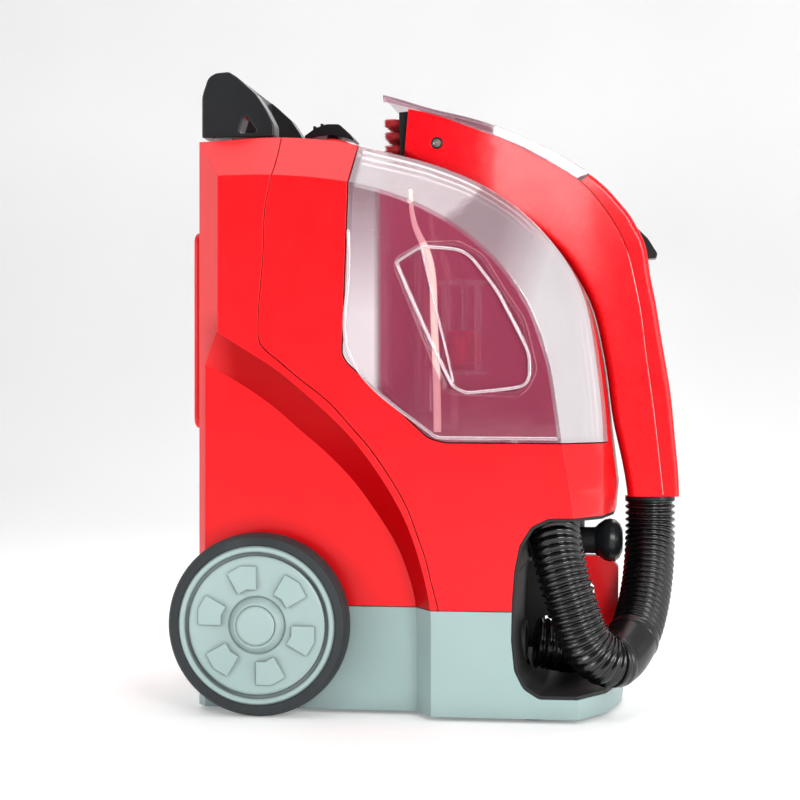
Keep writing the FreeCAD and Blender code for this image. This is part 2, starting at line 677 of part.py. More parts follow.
TYRE_PROFILE = [
    ("Dims.rim_r", 3.4), ("Dims.wheel_r - 5.0", 0.4), ("Dims.wheel_r - 2.2", 1.4),
    ("Dims.wheel_r - 0.7", 4.0), ("Dims.wheel_r", 8.4), ("Dims.wheel_r", 15.2),
    ("Dims.wheel_r - 0.8", 19.0), ("Dims.wheel_r - 2.6", 21.8), ("Dims.wheel_r - 5.4", 23.4),
    ("Dims.rim_r + 0.8", 23.6), ("Dims.rim_r", 22.6)]
CAP_PROFILE = [
    (0.0, 24.2), (6.2, 24.2), (6.2, 21.7), ("Dims.cap_r", 21.7), ("Dims.cap_r", 25.4),
    ("Dims.cap_r - 1.4", 26.8), (0.0, 27.2)]
# Raised petal on the hub's web, 15 degrees to each side of its middle.
PETAL_COS, PETAL_SIN = math.cos(math.radians(15.0)), math.sin(math.radians(15.0))
PETAL = [
    (25.0 * PETAL_COS, -25.0 * PETAL_SIN), (41.0 * PETAL_COS, -41.0 * PETAL_SIN), (42.6, 0.0),
    (41.0 * PETAL_COS, 41.0 * PETAL_SIN), (25.0 * PETAL_COS, 25.0 * PETAL_SIN), (25.9, 0.0)]


def wheels():
    for side, tag in ((-1, "right"), (1, "left")):
        axis = (0, side, 0)
        origin = (WHEEL_X, side * dim("tyre_in"), AXLE_Z)
        hub = turned(tag + "_hub_body", HUB_PROFILE, origin, axis, spin=45.0)
        pad_ring(hub, tag + "_pad_profile", tag + "_petal", 19.0, PETAL, 4.0, 6)
        keep(hub, tag + "_wheel_hub")
        keep(turned(tag + "_tyre_body", TYRE_PROFILE, origin, axis), tag + "_tyre")
        keep(turned(tag + "_cap_body", CAP_PROFILE, origin, axis), tag + "_hub_cap")


def axle():
    body = turned("axle_body", [
        (0.0, 0.0), ("Dims.axle_r - 0.6", 0.0), ("Dims.axle_r", 0.8),
        ("Dims.axle_r", "2*Dims.axle_half - 0.8"), ("Dims.axle_r - 0.6", "2*Dims.axle_half"),
        (0.0, "2*Dims.axle_half")], (WHEEL_X, -dim("axle_half"), AXLE_Z), (0, 1, 0))
    keep(body, "axle")


def axle_brackets():
    """Saddles that hold the axle inside the base."""
    saddles = []
    for side in SIDES:
        tag, y, z = side + 2, side * SADDLE_Y, BASE_FLOOR + 0.2
        post = box("saddle_%d" % tag, 26.0, 12.0, 64.0, (WHEEL_X - 13.0, y - 6.0, z))
        bore = cyl("saddle_bore_%d" % tag, "Dims.axle_r + 0.05", 20.0,
                   (WHEEL_X, y - 10.0, AXLE_Z), (0, 1, 0))
        foot = box("saddle_foot_%d" % tag, 44.0, 20.0, 3.0, (WHEEL_X - 22.0, y - 10.0, z))
        body = fuse("saddle_body_%d" % tag, post, foot)
        saddles.append(cut("saddle_cut_%d" % tag, body, bore))
    keep_shifted(fuse("axle_saddles", *saddles), "axle_brackets")


def axle_retainers():
    """Push-on retainers at the axle ends, under the caps."""
    retainers = []
    for side in SIDES:
        tag, axis, inner_y = side + 2, (0, side, 0), dim("tyre_in")
        disc = cyl("retainer_%d" % tag, 6.0, 1.0,
                   (WHEEL_X, side * (inner_y + 22.2), AXLE_Z), axis)
        bore = cyl("retainer_bore_%d" % tag, "Dims.axle_r + 0.02", 4.0,
                   (WHEEL_X, side * (inner_y + 21.6), AXLE_Z), axis)
        retainers.append(cut("retainer_cut_%d" % tag, disc, bore))
    keep_shifted(fuse("retainers", *retainers), "axle_retainers")


def front_feet():
    """Rubber buttons pressed into the base."""
    feet = []
    for side in SIDES:
        tag, place = side + 2, (FOOT_X, side * FOOT_Y, 0.0)
        pad = cyl("foot_pad_%d" % tag, "Dims.foot_r", BASE_BOTTOM - 0.1, place)
        stem = cyl("foot_stem_%d" % tag, "Dims.foot_r - 5.1", 9.0, place)
        feet.append(fuse("foot_%d" % tag, pad, stem))
    keep_shifted(fuse("feet", *feet), "front_feet")


# ---------------------------------------------------------------- telescopic handle
def tube_pair(name, size, z0, z1):
    """Two upright rectangular tubes of the named size."""
    length, width = "Dims.%s_lx" % size, "Dims.%s_ly" % size
    wall = dim("tube_wall")
    tubes = []
    for side in SIDES:
        tag = "%s_%d" % (name, side + 2)
        x = TUBE_X - dim(size + "_lx") / 2
        y = side * TUBE_Y - dim(size + "_ly") / 2
        outer = box(tag, length, width, z1 - z0, (x, y, z0))
        bore = box(tag + "_bore", length + " - 2*Dims.tube_wall", width + " - 2*Dims.tube_wall",
                   z1 - z0 + 2, (x + wall, y + wall, z0 - 1))
        tubes.append(cut(tag + "_tube", outer, bore))
    keep_shifted(fuse(name, *tubes), "handle_" + name)


def handle_tubes():
    base = dim("tube_base")
    tube_pair("guides", "guide", 104.0, 376.0)
    tube_pair("mid_tubes", "mid", base, 379.0)
    tube_pair("inner_tubes", "inner", base + 4.0, 411.5)


# Grip outline (x, z) seen from the side.
GRIP = [(-150.2, 410.0), (-150.2, 440.0), (-145.6, 453.6), (-140.0, 456.6), (-130.4, 457.4),
        (-124.4, 453.6), (-110.4, 440.9), (-103.0, 429.9), (-97.4, 419.0), (-97.0, 410.0)]
GRIP_RADII = [1, 18, 8, 6, 6, 6, 10, 14, 8, 1]
CHEEK_WINDOW = [(-123.4, 412.8), (-118.9, 427.3), (-108.9, 412.8)]
HAND_ROOM = [(-200, 400), (-200, 433.0), (-126.5, 433.0), (-126.5, 470), (0, 470), (0, 400)]


def handle_grip():
    half = dim("grip_half")
    hand_half = half - dim("cheek")
    grip = slab(rounded_wire(GRIP, GRIP_RADII), -half, half)
    grip = grip.cut(slab(rounded_wire(CHEEK_WINDOW, 2.0), -100, 100))
    grip = grip.cut(slab(rounded_wire(HAND_ROOM, [0, 0, 10, 0, 0, 0]), -hand_half, hand_half))
    grip = rounded(grip, 2.4, lambda edge: abs(abs(edge.CenterOfMass.y) - half) < 0.2
                   and edge.BoundBox.ZMin > 409.9 and edge.BoundBox.ZMax > 414)
    for side in SIDES:
        grip = grip.cut(leg_hole("inner", side, 0.03, 405, 412.0))
    slot_half = dim("button_l") / 2 + 0.4
    grip = grip.cut(block(-143.4, -132.6, -slot_half, slot_half, 446.0, 470))
    keep_shape("handle_grip", one(grip))


def handle_button():
    button = box("button_block", 10.0, "Dims.button_l", 9.0,
                 (-143.0, -dim("button_l") / 2, 450.6))
    fillet = doc.addObject("Part::Fillet", "button_round")
    fillet.Base = button
    doc.recompute()                 # the block's edges are needed to pick the top ones
    fillet.Edges = [(number, 1.6, 1.6) for number, edge in enumerate(button.Shape.Edges, 1)
                    if edge.BoundBox.ZMin > 459.0]
    keep_shifted(fillet, "handle_button")


# ---------------------------------------------------------------- tanks
# Shallow recess (x, z) in the outer side of each tank.
PANEL = [(-2.9, 316.0), (17.2, 327.0), (40.0, 327.6), (55.8, 319.0), (73.0, 291.0), (84.2, 275.1),
         (92.4, 241.0), (84.2, 225.0), (33.1, 227.5)]
PANEL_RADII = [6, 8, 12, 20, 40, 30, 12, 12, 6]
PANEL_DEPTH = 2.0
DOCK_BORE_R = 9.5


def right_tank():
    """Hollow tank on the right, bored at its dock."""
    wall = dim("tank_wall")
    recess = slab(rounded_wire(PANEL, PANEL_RADII), -HALF_WIDTH - 5, -HALF_WIDTH + PANEL_DEPTH)
    recess_wall = slab(rounded_wire(inset(PANEL, -wall), [r + wall for r in PANEL_RADII]),
                       -HALF_WIDTH - 5, -HALF_WIDTH + PANEL_DEPTH + wall)
    outer = ENVELOPE.common(tank_region(0.0, -130, -LOBE_IN)).cut(recess)
    inner = envelope(wall).common(tank_region(wall, -130, -LOBE_IN - wall)).cut(recess_wall)
    return outer.cut(inner).cut(rod_z(DOCK_BORE_R, DOCK_X, -DOCK_Y, 180.0, 200.0))


def collar(side):
    """Collar under a tank, centred on its dock."""
    y = side * DOCK_Y
    return rod_z(12.6, DOCK_X, y, 184.0, 191.9).cut(rod_z(DOCK_BORE_R, DOCK_X, y, 170.0, 200.0))


def recovery_tank():
    """Right tank with a standpipe that opens near its top."""
    outer_r, bore_r = 8.0, 6.4
    spine_y = -LOBE_IN - 1.0
    tank = right_tank().fuse(collar(-1))
    bore = rod_z(bore_r, PIPE_X, PIPE_Y, 180.0, 340.0)
    pipe = rod_z(outer_r, PIPE_X, PIPE_Y, 196.0, 330.0).cut(bore)
    bracket = block(PIPE_X - outer_r, PIPE_X + outer_r, PIPE_Y, spine_y, 240.0, 243.0)
    pipe = pipe.fuse(bracket.cut(bore))
    pipe = pipe.common(block(0, 40, -100, spine_y, 190, 340))
    tank = tank.fuse(pipe.cut(block(0, 40, -100, 0, 180, 212)))
    tank = tank.cut(rod_z(bore_r, PIPE_X, PIPE_Y, 190.0, 214.0))
    keep_shape("recovery_tank", one(tank))


def solution_tank():
    """Left tank with level marks on its side wall."""
    tank = mirror(right_tank()).fuse(collar(1))
    for i in range(4):
        tank = tank.fuse(block(-30.0, -18.0 + (i % 2) * 4, HALF_WIDTH - 0.4, HALF_WIDTH + 0.5,
                               262.0 + 24 * i, 263.6 + 24 * i))
    keep_shape("solution_tank", one(tank))


def tank_caps():
    """Closures in the tank collars and the stem of the solution valve."""
    for side, node in ((-1, "recovery_drain_cap"), (1, "solution_valve_cap")):
        cap = turned(node + "_body", [
            (0.0, 181.0), (7.5, 181.0), (7.5, 183.2), (12.0, 183.2), (12.0, 183.9),
            (9.44, 183.9), (9.44, 196.0), (7.6, 196.0), (7.6, 186.0), (0.0, 186.0)],
            (DOCK_X, side * DOCK_Y, 0.0))
        keep(cap, node)
    stem = turned("valve_stem_body", [
        (0.0, 187.0), (3.0, 187.0), (3.0, 193.0), (6.4, 197.4), (6.4, 199.4), (2.0, 200.4),
        (2.0, 205.0), (0.0, 205.0)], (DOCK_X, DOCK_Y, 0.0))
    keep(stem, "solution_valve_stem")


def float_cage():
    """Two bored discs, four bars and a strut to the tank's inner wall."""
    x, y = FLOAT_X, FLOAT_Y
    cage = rod_z(18.0, x, y, 301.0, 304.0).cut(rod_z(8.0, x, y, 290, 310))
    for k in range(4):
        angle = math.radians(45 + 90 * k)
        cage = cage.fuse(rod_z(1.4, x + 16 * math.cos(angle), y + 16 * math.sin(angle),
                               240.0, 302.0))
    cage = cage.fuse(rod_z(18.0, x, y, 238.0, 240.6).cut(rod_z(5.0, x, y, 230, 250)))
    strut_end = -LOBE_IN - dim("tank_wall") - 0.05
    cage = cage.fuse(block(x - 2, x + 2, y + 14.0, strut_end, 238.0, 302.0))
    cage = cage.cut(rod_z(15.0, x, y, 240.6, 301.0))
    keep_shape("float_cage", one(cage))


def float_ball():
    body = turned("float_body", [
        (0.0, 0.0), (9.0, 0.0), ("Dims.float_r", 4.0), ("Dims.float_r", 22.0), (9.0, 27.0),
        (0.0, 27.0)], (FLOAT_X, FLOAT_Y, 242.0))
    keep(body, "float_ball")


def tank_docks():
    """Dock sockets and their seals in the floor of the tank bays."""
    docks, seals = [], []
    for side in SIDES:
        tag, y = side + 2, side * DOCK_Y
        cup = cyl("dock_cup_%d" % tag, 14.4, 14.0, (DOCK_X, y, 176.2))
        lip = cyl("dock_lip_%d" % tag, 14.4, 2.0, (DOCK_X, y, 174.2))
        bore = cyl("dock_bore_%d" % tag, 13.3, 30.0, (DOCK_X, y, 179.2))
        docks.append(cut("dock_cut_%d" % tag, fuse("dock_body_%d" % tag, cup, lip), bore))
        ring = cyl("seal_ring_%d" % tag, 13.2, 1.4, (DOCK_X, y, 179.3))
        eye = cyl("seal_bore_%d" % tag, 9.0, 4.0, (DOCK_X, y, 178.3))
        seals.append(cut("seal_cut_%d" % tag, ring, eye))
    keep_shifted(fuse("docks", *docks), "tank_docks")
    keep_shifted(fuse("seals", *seals), "dock_seals")


# ---------------------------------------------------------------- hand tool
# Half width of the tool in plan (x, y): wide head, narrow handle.
TOOL_PLAN = [(-60.0, HEAD_HALF), (20.0, HEAD_HALF), (62.0, 44.0), (98.0, 33.0),
             (126.0, TOOL_HALF + 4.0), (150.0, TOOL_HALF + 1.0), (230.0, TOOL_HALF)]


def plan(depth):
    """Everything within the tool's half width, less depth."""
    left = [Vector(x, y - depth, 100.0) for x, y in TOOL_PLAN]
    right = [Vector(x, -(y - depth), 100.0) for x, y in TOOL_PLAN]
    wire = Part.Wire([smooth(left), Part.LineSegment(left[-1], right[-1]).toShape(),
                      smooth(right[::-1]), Part.LineSegment(right[0], left[0]).toShape()])
    return Part.Face(wire).extrude(Vector(0, 0, 400.0))


def head_plan(depth):
    """The tool's plan with the head widened to a straight-sided block."""
    half = HEAD_HALF - depth
    return plan(depth).fuse(block(-60.0, 8.0, -half, half, 400.0, 460.0))


def tool_form(depth):
    """Solid between the tool's underside and seam, moved inward by depth."""
    lower = shifted(TOOL_LOW, depth)
    upper = shifted(TOOL_SEAM, -depth)
    for line in (lower, upper):
        line[0] = (line[0][0] + depth, line[0][1])
    return slab(band_wire(lower, upper), -70, 70).common(plan(depth))


TOOL_SOLID = rounded(
    tool_form(0.0), 6.0, lambda edge: edge.Length > 150 and abs(edge.CenterOfMass.y) > 10
    and near(edge, 60, 44, 362, 12))


def tool_shells():
    """Right and left halves of the hollow tool."""
    wall = dim("tool_wall")
    hollow = TOOL_SOLID.cut(tool_form(wall))
    # The foot of the handle is open for the hose cuff; the head is open to the rear.
    mouth = rounded_wire([(156.6, 140.0), (156.9, 156.0), (177.2, 156.0), (177.5, 140.0)])
    hollow = hollow.cut(slab(mouth, -TOOL_HALF + wall, TOOL_HALF - wall))
    hollow = hollow.cut(block(-20, 4.0, -HEAD_HALF + 4.0, HEAD_HALF - 4.0, 396.0, 432.0))
    hollow = hollow.cut(block(147.0, 182.0, -9.0, 9.0, 318.0, 350.0))       # trigger slot
    for side in SIDES:
        hollow = hollow.cut(rod_y(dim("screw_r") + 0.4, SCREW_X, SCREW_Z,
                                  side * (HEAD_HALF - 5.0), side * (HEAD_HALF + 4)))
    right = one(hollow.common(block(-60, 260, -80, -0.15, 100, 500)))
    left = one(hollow.common(block(-60, 260, 0.15, 80, 100, 500)))
    keep_shape("tool_right_shell", right)
    keep_shape("tool_left_shell", left)


def tool_spine():
    """Outer spine of the tool, rounded across, with a gap line against the shells."""
    lower = [p for p in shifted(TOOL_SEAM, 0.4) if p[0] > 118.0]
    upper = TOOL_TOP[8:]
    wire = segment_wire([[lower[0], upper[0]], upper, [upper[-1], lower[-1]], lower[::-1]])
    spine = slab(wire, -70, 70).common(plan(3.0))
    spine = rounded(spine, 4.0, lambda edge: edge.Length > 120
                    and abs(edge.CenterOfMass.y) > 8
                    and near(edge, 190.0, TOOL_HALF - 3, 170, 4))
    spine = spine.cut(block(150.0, 200.0, -8.4, 8.4, 320.0, 349.0))
    spine = spine.cut(TOOL_SOLID.translated(Vector(0.3, 0, 0.3)))
    keep_shape("tool_spine", one(spine))


def nozzle_window():
    """Clear window over the head, ending in the suction lip above the brush."""
    lower = [(-21.6, 437.6), (-12.0, 435.2), (-3.0, 432.9)]
    lower += shifted(TOOL_SEAM, 1.0)[1:5] + [(117.4, 382.3)]
    upper = TOOL_TOP[:8] + [(126.8, 385.9)]
    outer = slab(band_wire(lower, upper), -70, 70).common(head_plan(2.5))
    # The hollow runs out past the rear lip and through the underside.
    low = shifted(lower, -4.0)
    high = shifted(upper, -1.6)
    low[-1] = (low[-1][0] - 3.0, low[-1][1])
    high[-1] = (high[-1][0] - 4.0, high[-1][1] + 0.6)
    low[0] = (-40.0, low[0][1] + 4.0)
    high[0] = (-40.0, high[0][1] + 4.0)
    inner = slab(band_wire(low, high), -70, 70).common(head_plan(5.0))
    window = outer.cut(inner).cut(TOOL_SOLID.translated(Vector(0.3, 0, 0.4)))
    keep_shape("nozzle_window", one(window))


def brush():
    """Holder plate and three rows of bristles that face backward."""
    half = dim("brush_half")
    plate = rounded_wire([(-9.4, 398.2), (-10.6, 430.0), (-2.4, 430.6), (2.6, 428.0),
                          (3.2, 400.2)], 1.0)
    keep_shape("brush_holder", slab(plate, -half - 3.0, half + 3.0))
    rows = []
    for i in range(3):
        z = 404.0 + i * 9.6
        tuft_row = block(-21.5 + 0.5 * i, -11.0, -half, half, z - 3.6, z + 3.6)
        rows.append(rounded(tuft_row, 1.6, lambda edge: edge.BoundBox.XMax < -15))
    keep_shape("brush_bristles", rows[0].fuse(rows[1]).fuse(rows[2]))


def trigger_button():
    """Wedge that is pressed into the handle."""
    wire = rounded_wire([(160.4, 347.6), (157.2, 346.6), (160.8, 324.0), (174.6, 324.6),
                         (175.8, 328.0), (169.0, 339.0)], [1.5, 1, 1, 1.5, 2.5, 6])
    half = dim("trigger_half")
    keep_shape("trigger_button", slab(wire, -half, half))


def spray_parts():
    """Spray valve inside the handle and the spray jet in the head."""
    barrel = cyl("valve_barrel", 6.0, 26.0, (150.0, 0.0, 300.0), (0.24, 0.0, -1.0))
    pipe = cyl("valve_pipe", 2.4, 106.0, (156.4, 0.0, 275.5), (0.143, 0.0, -1.0))
    keep_shifted(fuse("valve_body", barrel, pipe), "spray_valve")
    jet = turned("jet_body", [
        (0.0, 0.0), (4.5, 0.0), (4.5, 8.0), (6.4, 9.0), (6.4, 13.0), (2.0, 16.0), (0.0, 16.0)],
        (44.0, 0.0, 388.0), (-1, 0, 0.35))
    keep(jet, "spray_jet")


def tool_hose_cuff():
    """Cuff that joins the hose to the handle."""
    flange = cyl("cuff_flange", "Dims.hose_r - 0.2", 2.8, (170.3, 0.0, 147.3))
    neck = cyl("cuff_neck", 8.6, 15.4, (167.2, 0.0, 147.6))
    bore = cyl("cuff_bore", 6.8, 30.0, (167.2, 0.0, 140.0))
    keep_shifted(cut("cuff", fuse("cuff_body", flange, neck), bore), "tool_hose_cuff")


def tool_screws():
    screws = []
    for side in SIDES:
        tag = side + 2
        head = cyl("head_screw_%d" % tag, "Dims.screw_r", 4.0,
                   (SCREW_X, side * (HEAD_HALF - 4.2), SCREW_Z), (0, side, 0))
        slot = box("head_slot_%d" % tag, 5.2, 1.4, 1.2,
                   (SCREW_X - 2.6, side * (HEAD_HALF - 0.8) - 0.7, SCREW_Z - 0.6))
        screws.append(cut("head_screw_cut_%d" % tag, head, slot))
    keep_shifted(fuse("head_screws", *screws), "tool_screws")


# ---------------------------------------------------------------- hose, peg and keeper
def hose_peg():
    peg = turned("peg_body", [
        (0.0, 0.0), (9.75, 0.0), (9.75, 9.3), (13.4, 9.5), (13.4, 12.0), (9.75, 14.6),
        (9.75, 58.0), (12.6, 61.0), (15.4, 65.0), (16.2, 69.0), (15.4, 73.0), (12.6, 76.2),
        (8.0, 78.2), (0.0, 78.8)], (72.0, 0.0, PEG_Z), (1, 0, 0))
    keep(peg, "hose_peg")


def hose_keeper():
    """Plate under the peg, cut to clear the peg's shank and head."""
    half = dim("keeper_half")
    wire = rounded_wire([(112.0, 106.0), (117.2, 90.5), (129.4, 84.6), (130.6, 57.0),
                         (139.6, 49.2), (147.0, 62.0), (147.2, 98.0), (140.0, 106.0)],
                        [2, 5, 4, 5, 3, 8, 4, 2])
    # Half-profile (x, z) above the peg's axis.
    head_room = rounded_wire([
        (120, PEG_Z), (120, 126.7), (130.0, 126.9), (133.0, 129.6), (137.0, 132.4),
        (141.0, 133.4), (145.0, 132.4), (148.2, 129.6), (150.4, 125.2), (151.2, PEG_Z)])
    keeper = slab(wire, -half, half).cut(rod_x(9.9, 0, PEG_Z, 60, 140))
    keeper = keeper.cut(
        Part.Face(head_room).revolve(Vector(0, 0, PEG_Z), Vector(1, 0, 0), 360))
    keep_shape("hose_keeper", one(keeper))


# Hose centre line (x, y, z) from the tool to the port, and the bend radius at each inner corner.
HOSE = [
    (170.3, 0, 146.8), (170.3, 0, 92), (146.5, -60, 40), (112.5, -93, 38.6), (101.0, -90, 98),
    (101.0, -76, 147.4), (101.2, 76, 147.4), (101.0, 91, 98), (106.0, 92, 38.6),
    (114.0, 40, 38.4), (113.0, PORT_Y, 42.0), (88.6, PORT_Y, PORT_Z)]
HOSE_BENDS = [40, 44, 22, 60, 26, 26, 60, 24, 60, 21]


def vacuum_hose():
    keep_shape("vacuum_hose", bend_pipe(HOSE, HOSE_BENDS, dim("hose_r")))


# ---------------------------------------------------------------- vacuum motor, pump and ducts
def vac_motor():
    can = turned("motor_can_body", [
        (0.0, 0.0), ("Dims.motor_r - 3.0", 0.0), ("Dims.motor_r", 3.0), ("Dims.motor_r", 30.0),
        ("Dims.motor_r - 2.0", 32.0), ("Dims.motor_r - 2.0", 46.0), ("Dims.motor_r", 48.0),
        ("Dims.motor_r", "Dims.motor_top - Dims.motor_bot"),
        (4.05, "Dims.motor_top - Dims.motor_bot"), (4.05, 10.0), (0.0, 10.0)],
        (MOTOR_X, 0, MOTOR_BOTTOM))
    keep(can, "vac_motor")


def fan():
    """Fan housing and the bladed impeller inside it."""
    origin = (MOTOR_X, 0, MOTOR_TOP)
    housing = turned("fan_housing_body", [
        (9.0, 0.4), ("Dims.fan_r", 0.4), ("Dims.fan_r", 34.0), ("Dims.fan_r - 4.0", 38.0),
        (14.0, 38.0), (14.0, 42.0), (11.0, 42.0), (11.0, 35.0), ("Dims.fan_r - 6.0", 35.0),
        ("Dims.fan_r - 3.0", 32.0), ("Dims.fan_r - 3.0", 3.4), (9.0, 3.4)], origin)
    keep(housing, "fan_housing")
    impeller = turned("impeller_body", [
        (4.02, 6.0), (34.0, 6.0), (34.0, 7.6), (9.0, 7.6), (7.0, 30.0), (4.02, 30.0)], origin)
    pad_ring(impeller, "blade_profile", "blade", 7.0,
             [(8.0, -0.9), (33.0, 5.0), (32.6, 7.0), (8.0, 0.9)], 20.0, 9)
    keep(impeller, "impeller")


def motor_shaft():
    keep_shifted(cyl("shaft", 4.0, 98.0, (MOTOR_X, 0.0, MOTOR_BOTTOM + 11.0)), "motor_shaft")


def motor_mount():
    """Ring around the motor over a plate on three legs, joined by two ribs."""
    plate_z = MOTOR_BOTTOM - 3.4
    ring = cyl("mount_ring", "Dims.motor_r + 3.0", 10.0, (MOTOR_X, 0, MOTOR_BOTTOM + 34.0))
    bore = cyl("mount_bore", "Dims.motor_r + 0.1", 14.0, (MOTOR_X, 0, MOTOR_BOTTOM + 32.0))
    plate = cyl("mount_plate", 30.0, 3.0, (MOTOR_X, 0, plate_z))
    legs = []
    for k in range(3):
        angle = math.radians(120 * k)
        place = (MOTOR_X + 24 * math.cos(angle), 24 * math.sin(angle), BASE_FLOOR + 0.2)
        legs.append(cyl("mount_leg_%d" % k, 4.0, MOTOR_BOTTOM - 9.0, place))
    ribs = [box("mount_rib_%d" % k, 3.0, 4.2, 47.4, (MOTOR_X - 1.5, y, plate_z))
            for k, y in enumerate((36.6, -40.8))]
    wings = [box("mount_wing_%d" % k, 6.0, 12.0, 3.0, (MOTOR_X - 3.0, y, plate_z))
             for k, y in enumerate((28.0, -40.0))]
    bored_ring = cut("mount_ring_cut", ring, bore)
    keep_shifted(fuse("motor_mount_all", bored_ring, plate, *(legs + ribs + wings)),
                 "motor_mount")


def suction_duct():
    """Duct from the standpipe to the top of the fan."""
    path = [(PIPE_X, PIPE_Y, 188), (PIPE_X, PIPE_Y, 160), (0, -20, 168), (-10, 0, 272),
            (MOTOR_X, 0, 272), (MOTOR_X, 0, 249)]
    keep_shape("suction_duct", bend_pipe(path, [14, 20, 20, 18], 9.0, 7.2))


def recovery_duct():
    """Collar at the hose port and the pipe that rises from it to the recovery tank."""
    front, rear = (69.8, PORT_Y, PORT_Z), (68.0, PORT_Y, PORT_Z)
    axis = (1, 0, 0)
    port = cut("port_cut", cyl("port_collar", 15.8, 12.6, front, axis),
               cyl("port_bore", 12.6, 20.0, rear, axis))
    pipe = doc.addObject("Part::Feature", "duct_pipe")
    pipe.Shape = bend_pipe([(69.6, PORT_Y, PORT_Z), (48, PORT_Y, PORT_Z), (48, -60, 120),
                            (65, -84, 150), (65, -84, 173.0)], [14, 24, 20], 7.6, 6.0)
    web = cut("port_web", cyl("port_disc", 15.0, 1.6, front, axis),
              cyl("port_eye", 6.0, 6.0, rear, axis))
    keep_shifted(fuse("recovery_line", port, pipe, web), "recovery_duct")


def solution_pump():
    pump = box("pump_block", "Dims.pump_l - 26.0", "Dims.pump_w", 34.0,
               (-20.0, -dim("pump_w") / 2, BASE_FLOOR + 0.4))
    motor = cyl("pump_motor", 15.0, 30.0, (23.0, 0.0, BASE_FLOOR + 18.0), (1, 0, 0))
    keep_shifted(fuse("pump", pump, motor), "solution_pump")


def solution_tubes():
    """Tube from the solution tank to the pump, and tube from the pump to the bay."""
    supply = bend_pipe([(64, 84, 173), (60, 84, 150), (30, 64, 70), (0, 50, 28),
                        (0, 21.4, 28)], [12, 20, 14], 3.0)
    delivery = bend_pipe([(-10, -21.4, 28), (-10, -36, 30), (40, -24, 50), (64, -10, 92)],
                         [9, 20], 3.0)
    keep_shape("solution_tubes", Part.makeCompound([supply, delivery]))


# ---------------------------------------------------------------- rocker switch
def power_rocker():
    """Curved rocker with three ribs on a stem that turns on the pin."""
    wire = rounded_wire([
        (-86.6, 418.6), (-78.2, 424.4), (-69.4, 427.2), (-60.2, 427.0), (-52.0, 419.4),
        (-47.0, 413.2), (-54.0, 416.6), (-66.0, 419.2), (-78.0, 417.8), (-85.4, 414.4)],
        [1.5, 3, 8, 5, 8, 1, 6, 20, 8, 1])
    rocker = slab(wire, -13.0, 13.0)
    for i, top in enumerate((426.2, 428.0, 427.4)):
        x = -80.4 + 5.6 * i
        rocker = rocker.fuse(block(x, x + 2.0, -10.5, 10.5, 419.0, top))
    rocker = rocker.fuse(block(ROCKER_X - 4.0, ROCKER_X + 4.0, -8.0, 8.0, PIN_Z, 420.0))
    rocker = rocker.fuse(rod_y(5.0, ROCKER_X, PIN_Z, -8.0, 8.0))
    rocker = rocker.cut(rod_y(1.56, ROCKER_X, PIN_Z, -30, 30))
    keep_shape("power_rocker", one(rocker))


def rocker_bracket():
    """Switch block with two ears that carry the rocker's pin."""
    switch = box("switch_block", 28.0, 24.0, 16.0, (ROCKER_X - 14.0, -12.0, 370.0))
    ears = [box("switch_ear_%d" % k, 10.0, 2.6, 16.4, (ROCKER_X - 5.0, y, 385.6))
            for k, y in ((1, -11.4), (2, 8.8))]
    pin = cyl("switch_pin", 1.5, 22.8, (ROCKER_X, -11.4, PIN_Z), (0, 1, 0))
    keep_shifted(fuse("switch_all", switch, *ears, pin), "rocker_bracket")


# ---------------------------------------------------------------- power cord and its hooks
HOOK_X = -152.0


def cord_hook_lower():
    post = cyl("hook_post", 8.5, 34.0, (HOOK_X, 0.0, HOOK_LOW_Z), (1, 0, 0))
    plate = box("hook_plate", 3.6, 40.0, 24.0, (-155.4, -20.0, 212.0))
    keep_shifted(fuse("hook_low", post, plate), "cord_hook_lower")


def cord_hook_upper():
    """Shaft with a blade on its rear end and a pin on its front end."""
    body = doc.addObject("PartDesign::Body", "hook_body")
    shaft = add_sketch(body, "hook_shaft_profile", "YZ_Plane")
    circle(shaft, 8.0)
    add_feature(body, "Pad", "hook_shaft", shaft, Length=33.8)
    blade = add_sketch(body, "hook_blade_profile", "YZ_Plane")
    polygon(blade, [(-18.0, -9.0), (18.0, -9.0), (20.0, 4.0), (14.0, 18.0), (-14.0, 18.0),
                    (-20.0, 4.0)])
    add_feature(body, "Pad", "hook_blade", blade, Length=3.6, Reversed=True)
    pin = add_sketch(body, "hook_pin_profile", "YZ_Plane", 33.0)
    circle(pin, 5.0)
    add_feature(body, "Pad", "hook_pin", pin, Length=4.6)
    body.Placement = Placement(Vector(HOOK_X + SHIFT, 0.0, HOOK_HIGH_Z), Rotation())
    keep(body, "cord_hook_upper")


def stadium(radius, x0, x1):
    """Upright oblong around both hooks."""
    ends = rod_x(radius, 0, HOOK_LOW_Z, x0, x1).fuse(rod_x(radius, 0, HOOK_HIGH_Z, x0, x1))
    return ends.fuse(block(x0, x1, -radius, radius, HOOK_LOW_Z, HOOK_HIGH_Z))


def power_cord():
    """Wound cord as one oblong ring."""
    cord = stadium(19.4, -150.6, -121.0)
    cord = rounded(cord.removeSplitter(), 4.0, lambda edge: True)
    keep_shape("power_cord", one(cord.cut(stadium(10.2, -160, -110))))


def power_plug():
    x, y = -136.0, 33.4
    body = cyl("plug_body", 8.2, 26.0, (x, y, 236.0))
    neck = cyl("plug_neck", 4.6, 12.0, (x, y, 224.4))
    prong = box("plug_prong_0", 1.6, 6.0, 16.0, (x - 0.8, y - 3.0, 261.0))
    keep_shifted(fuse("plug", body, neck, prong), "power_plug")


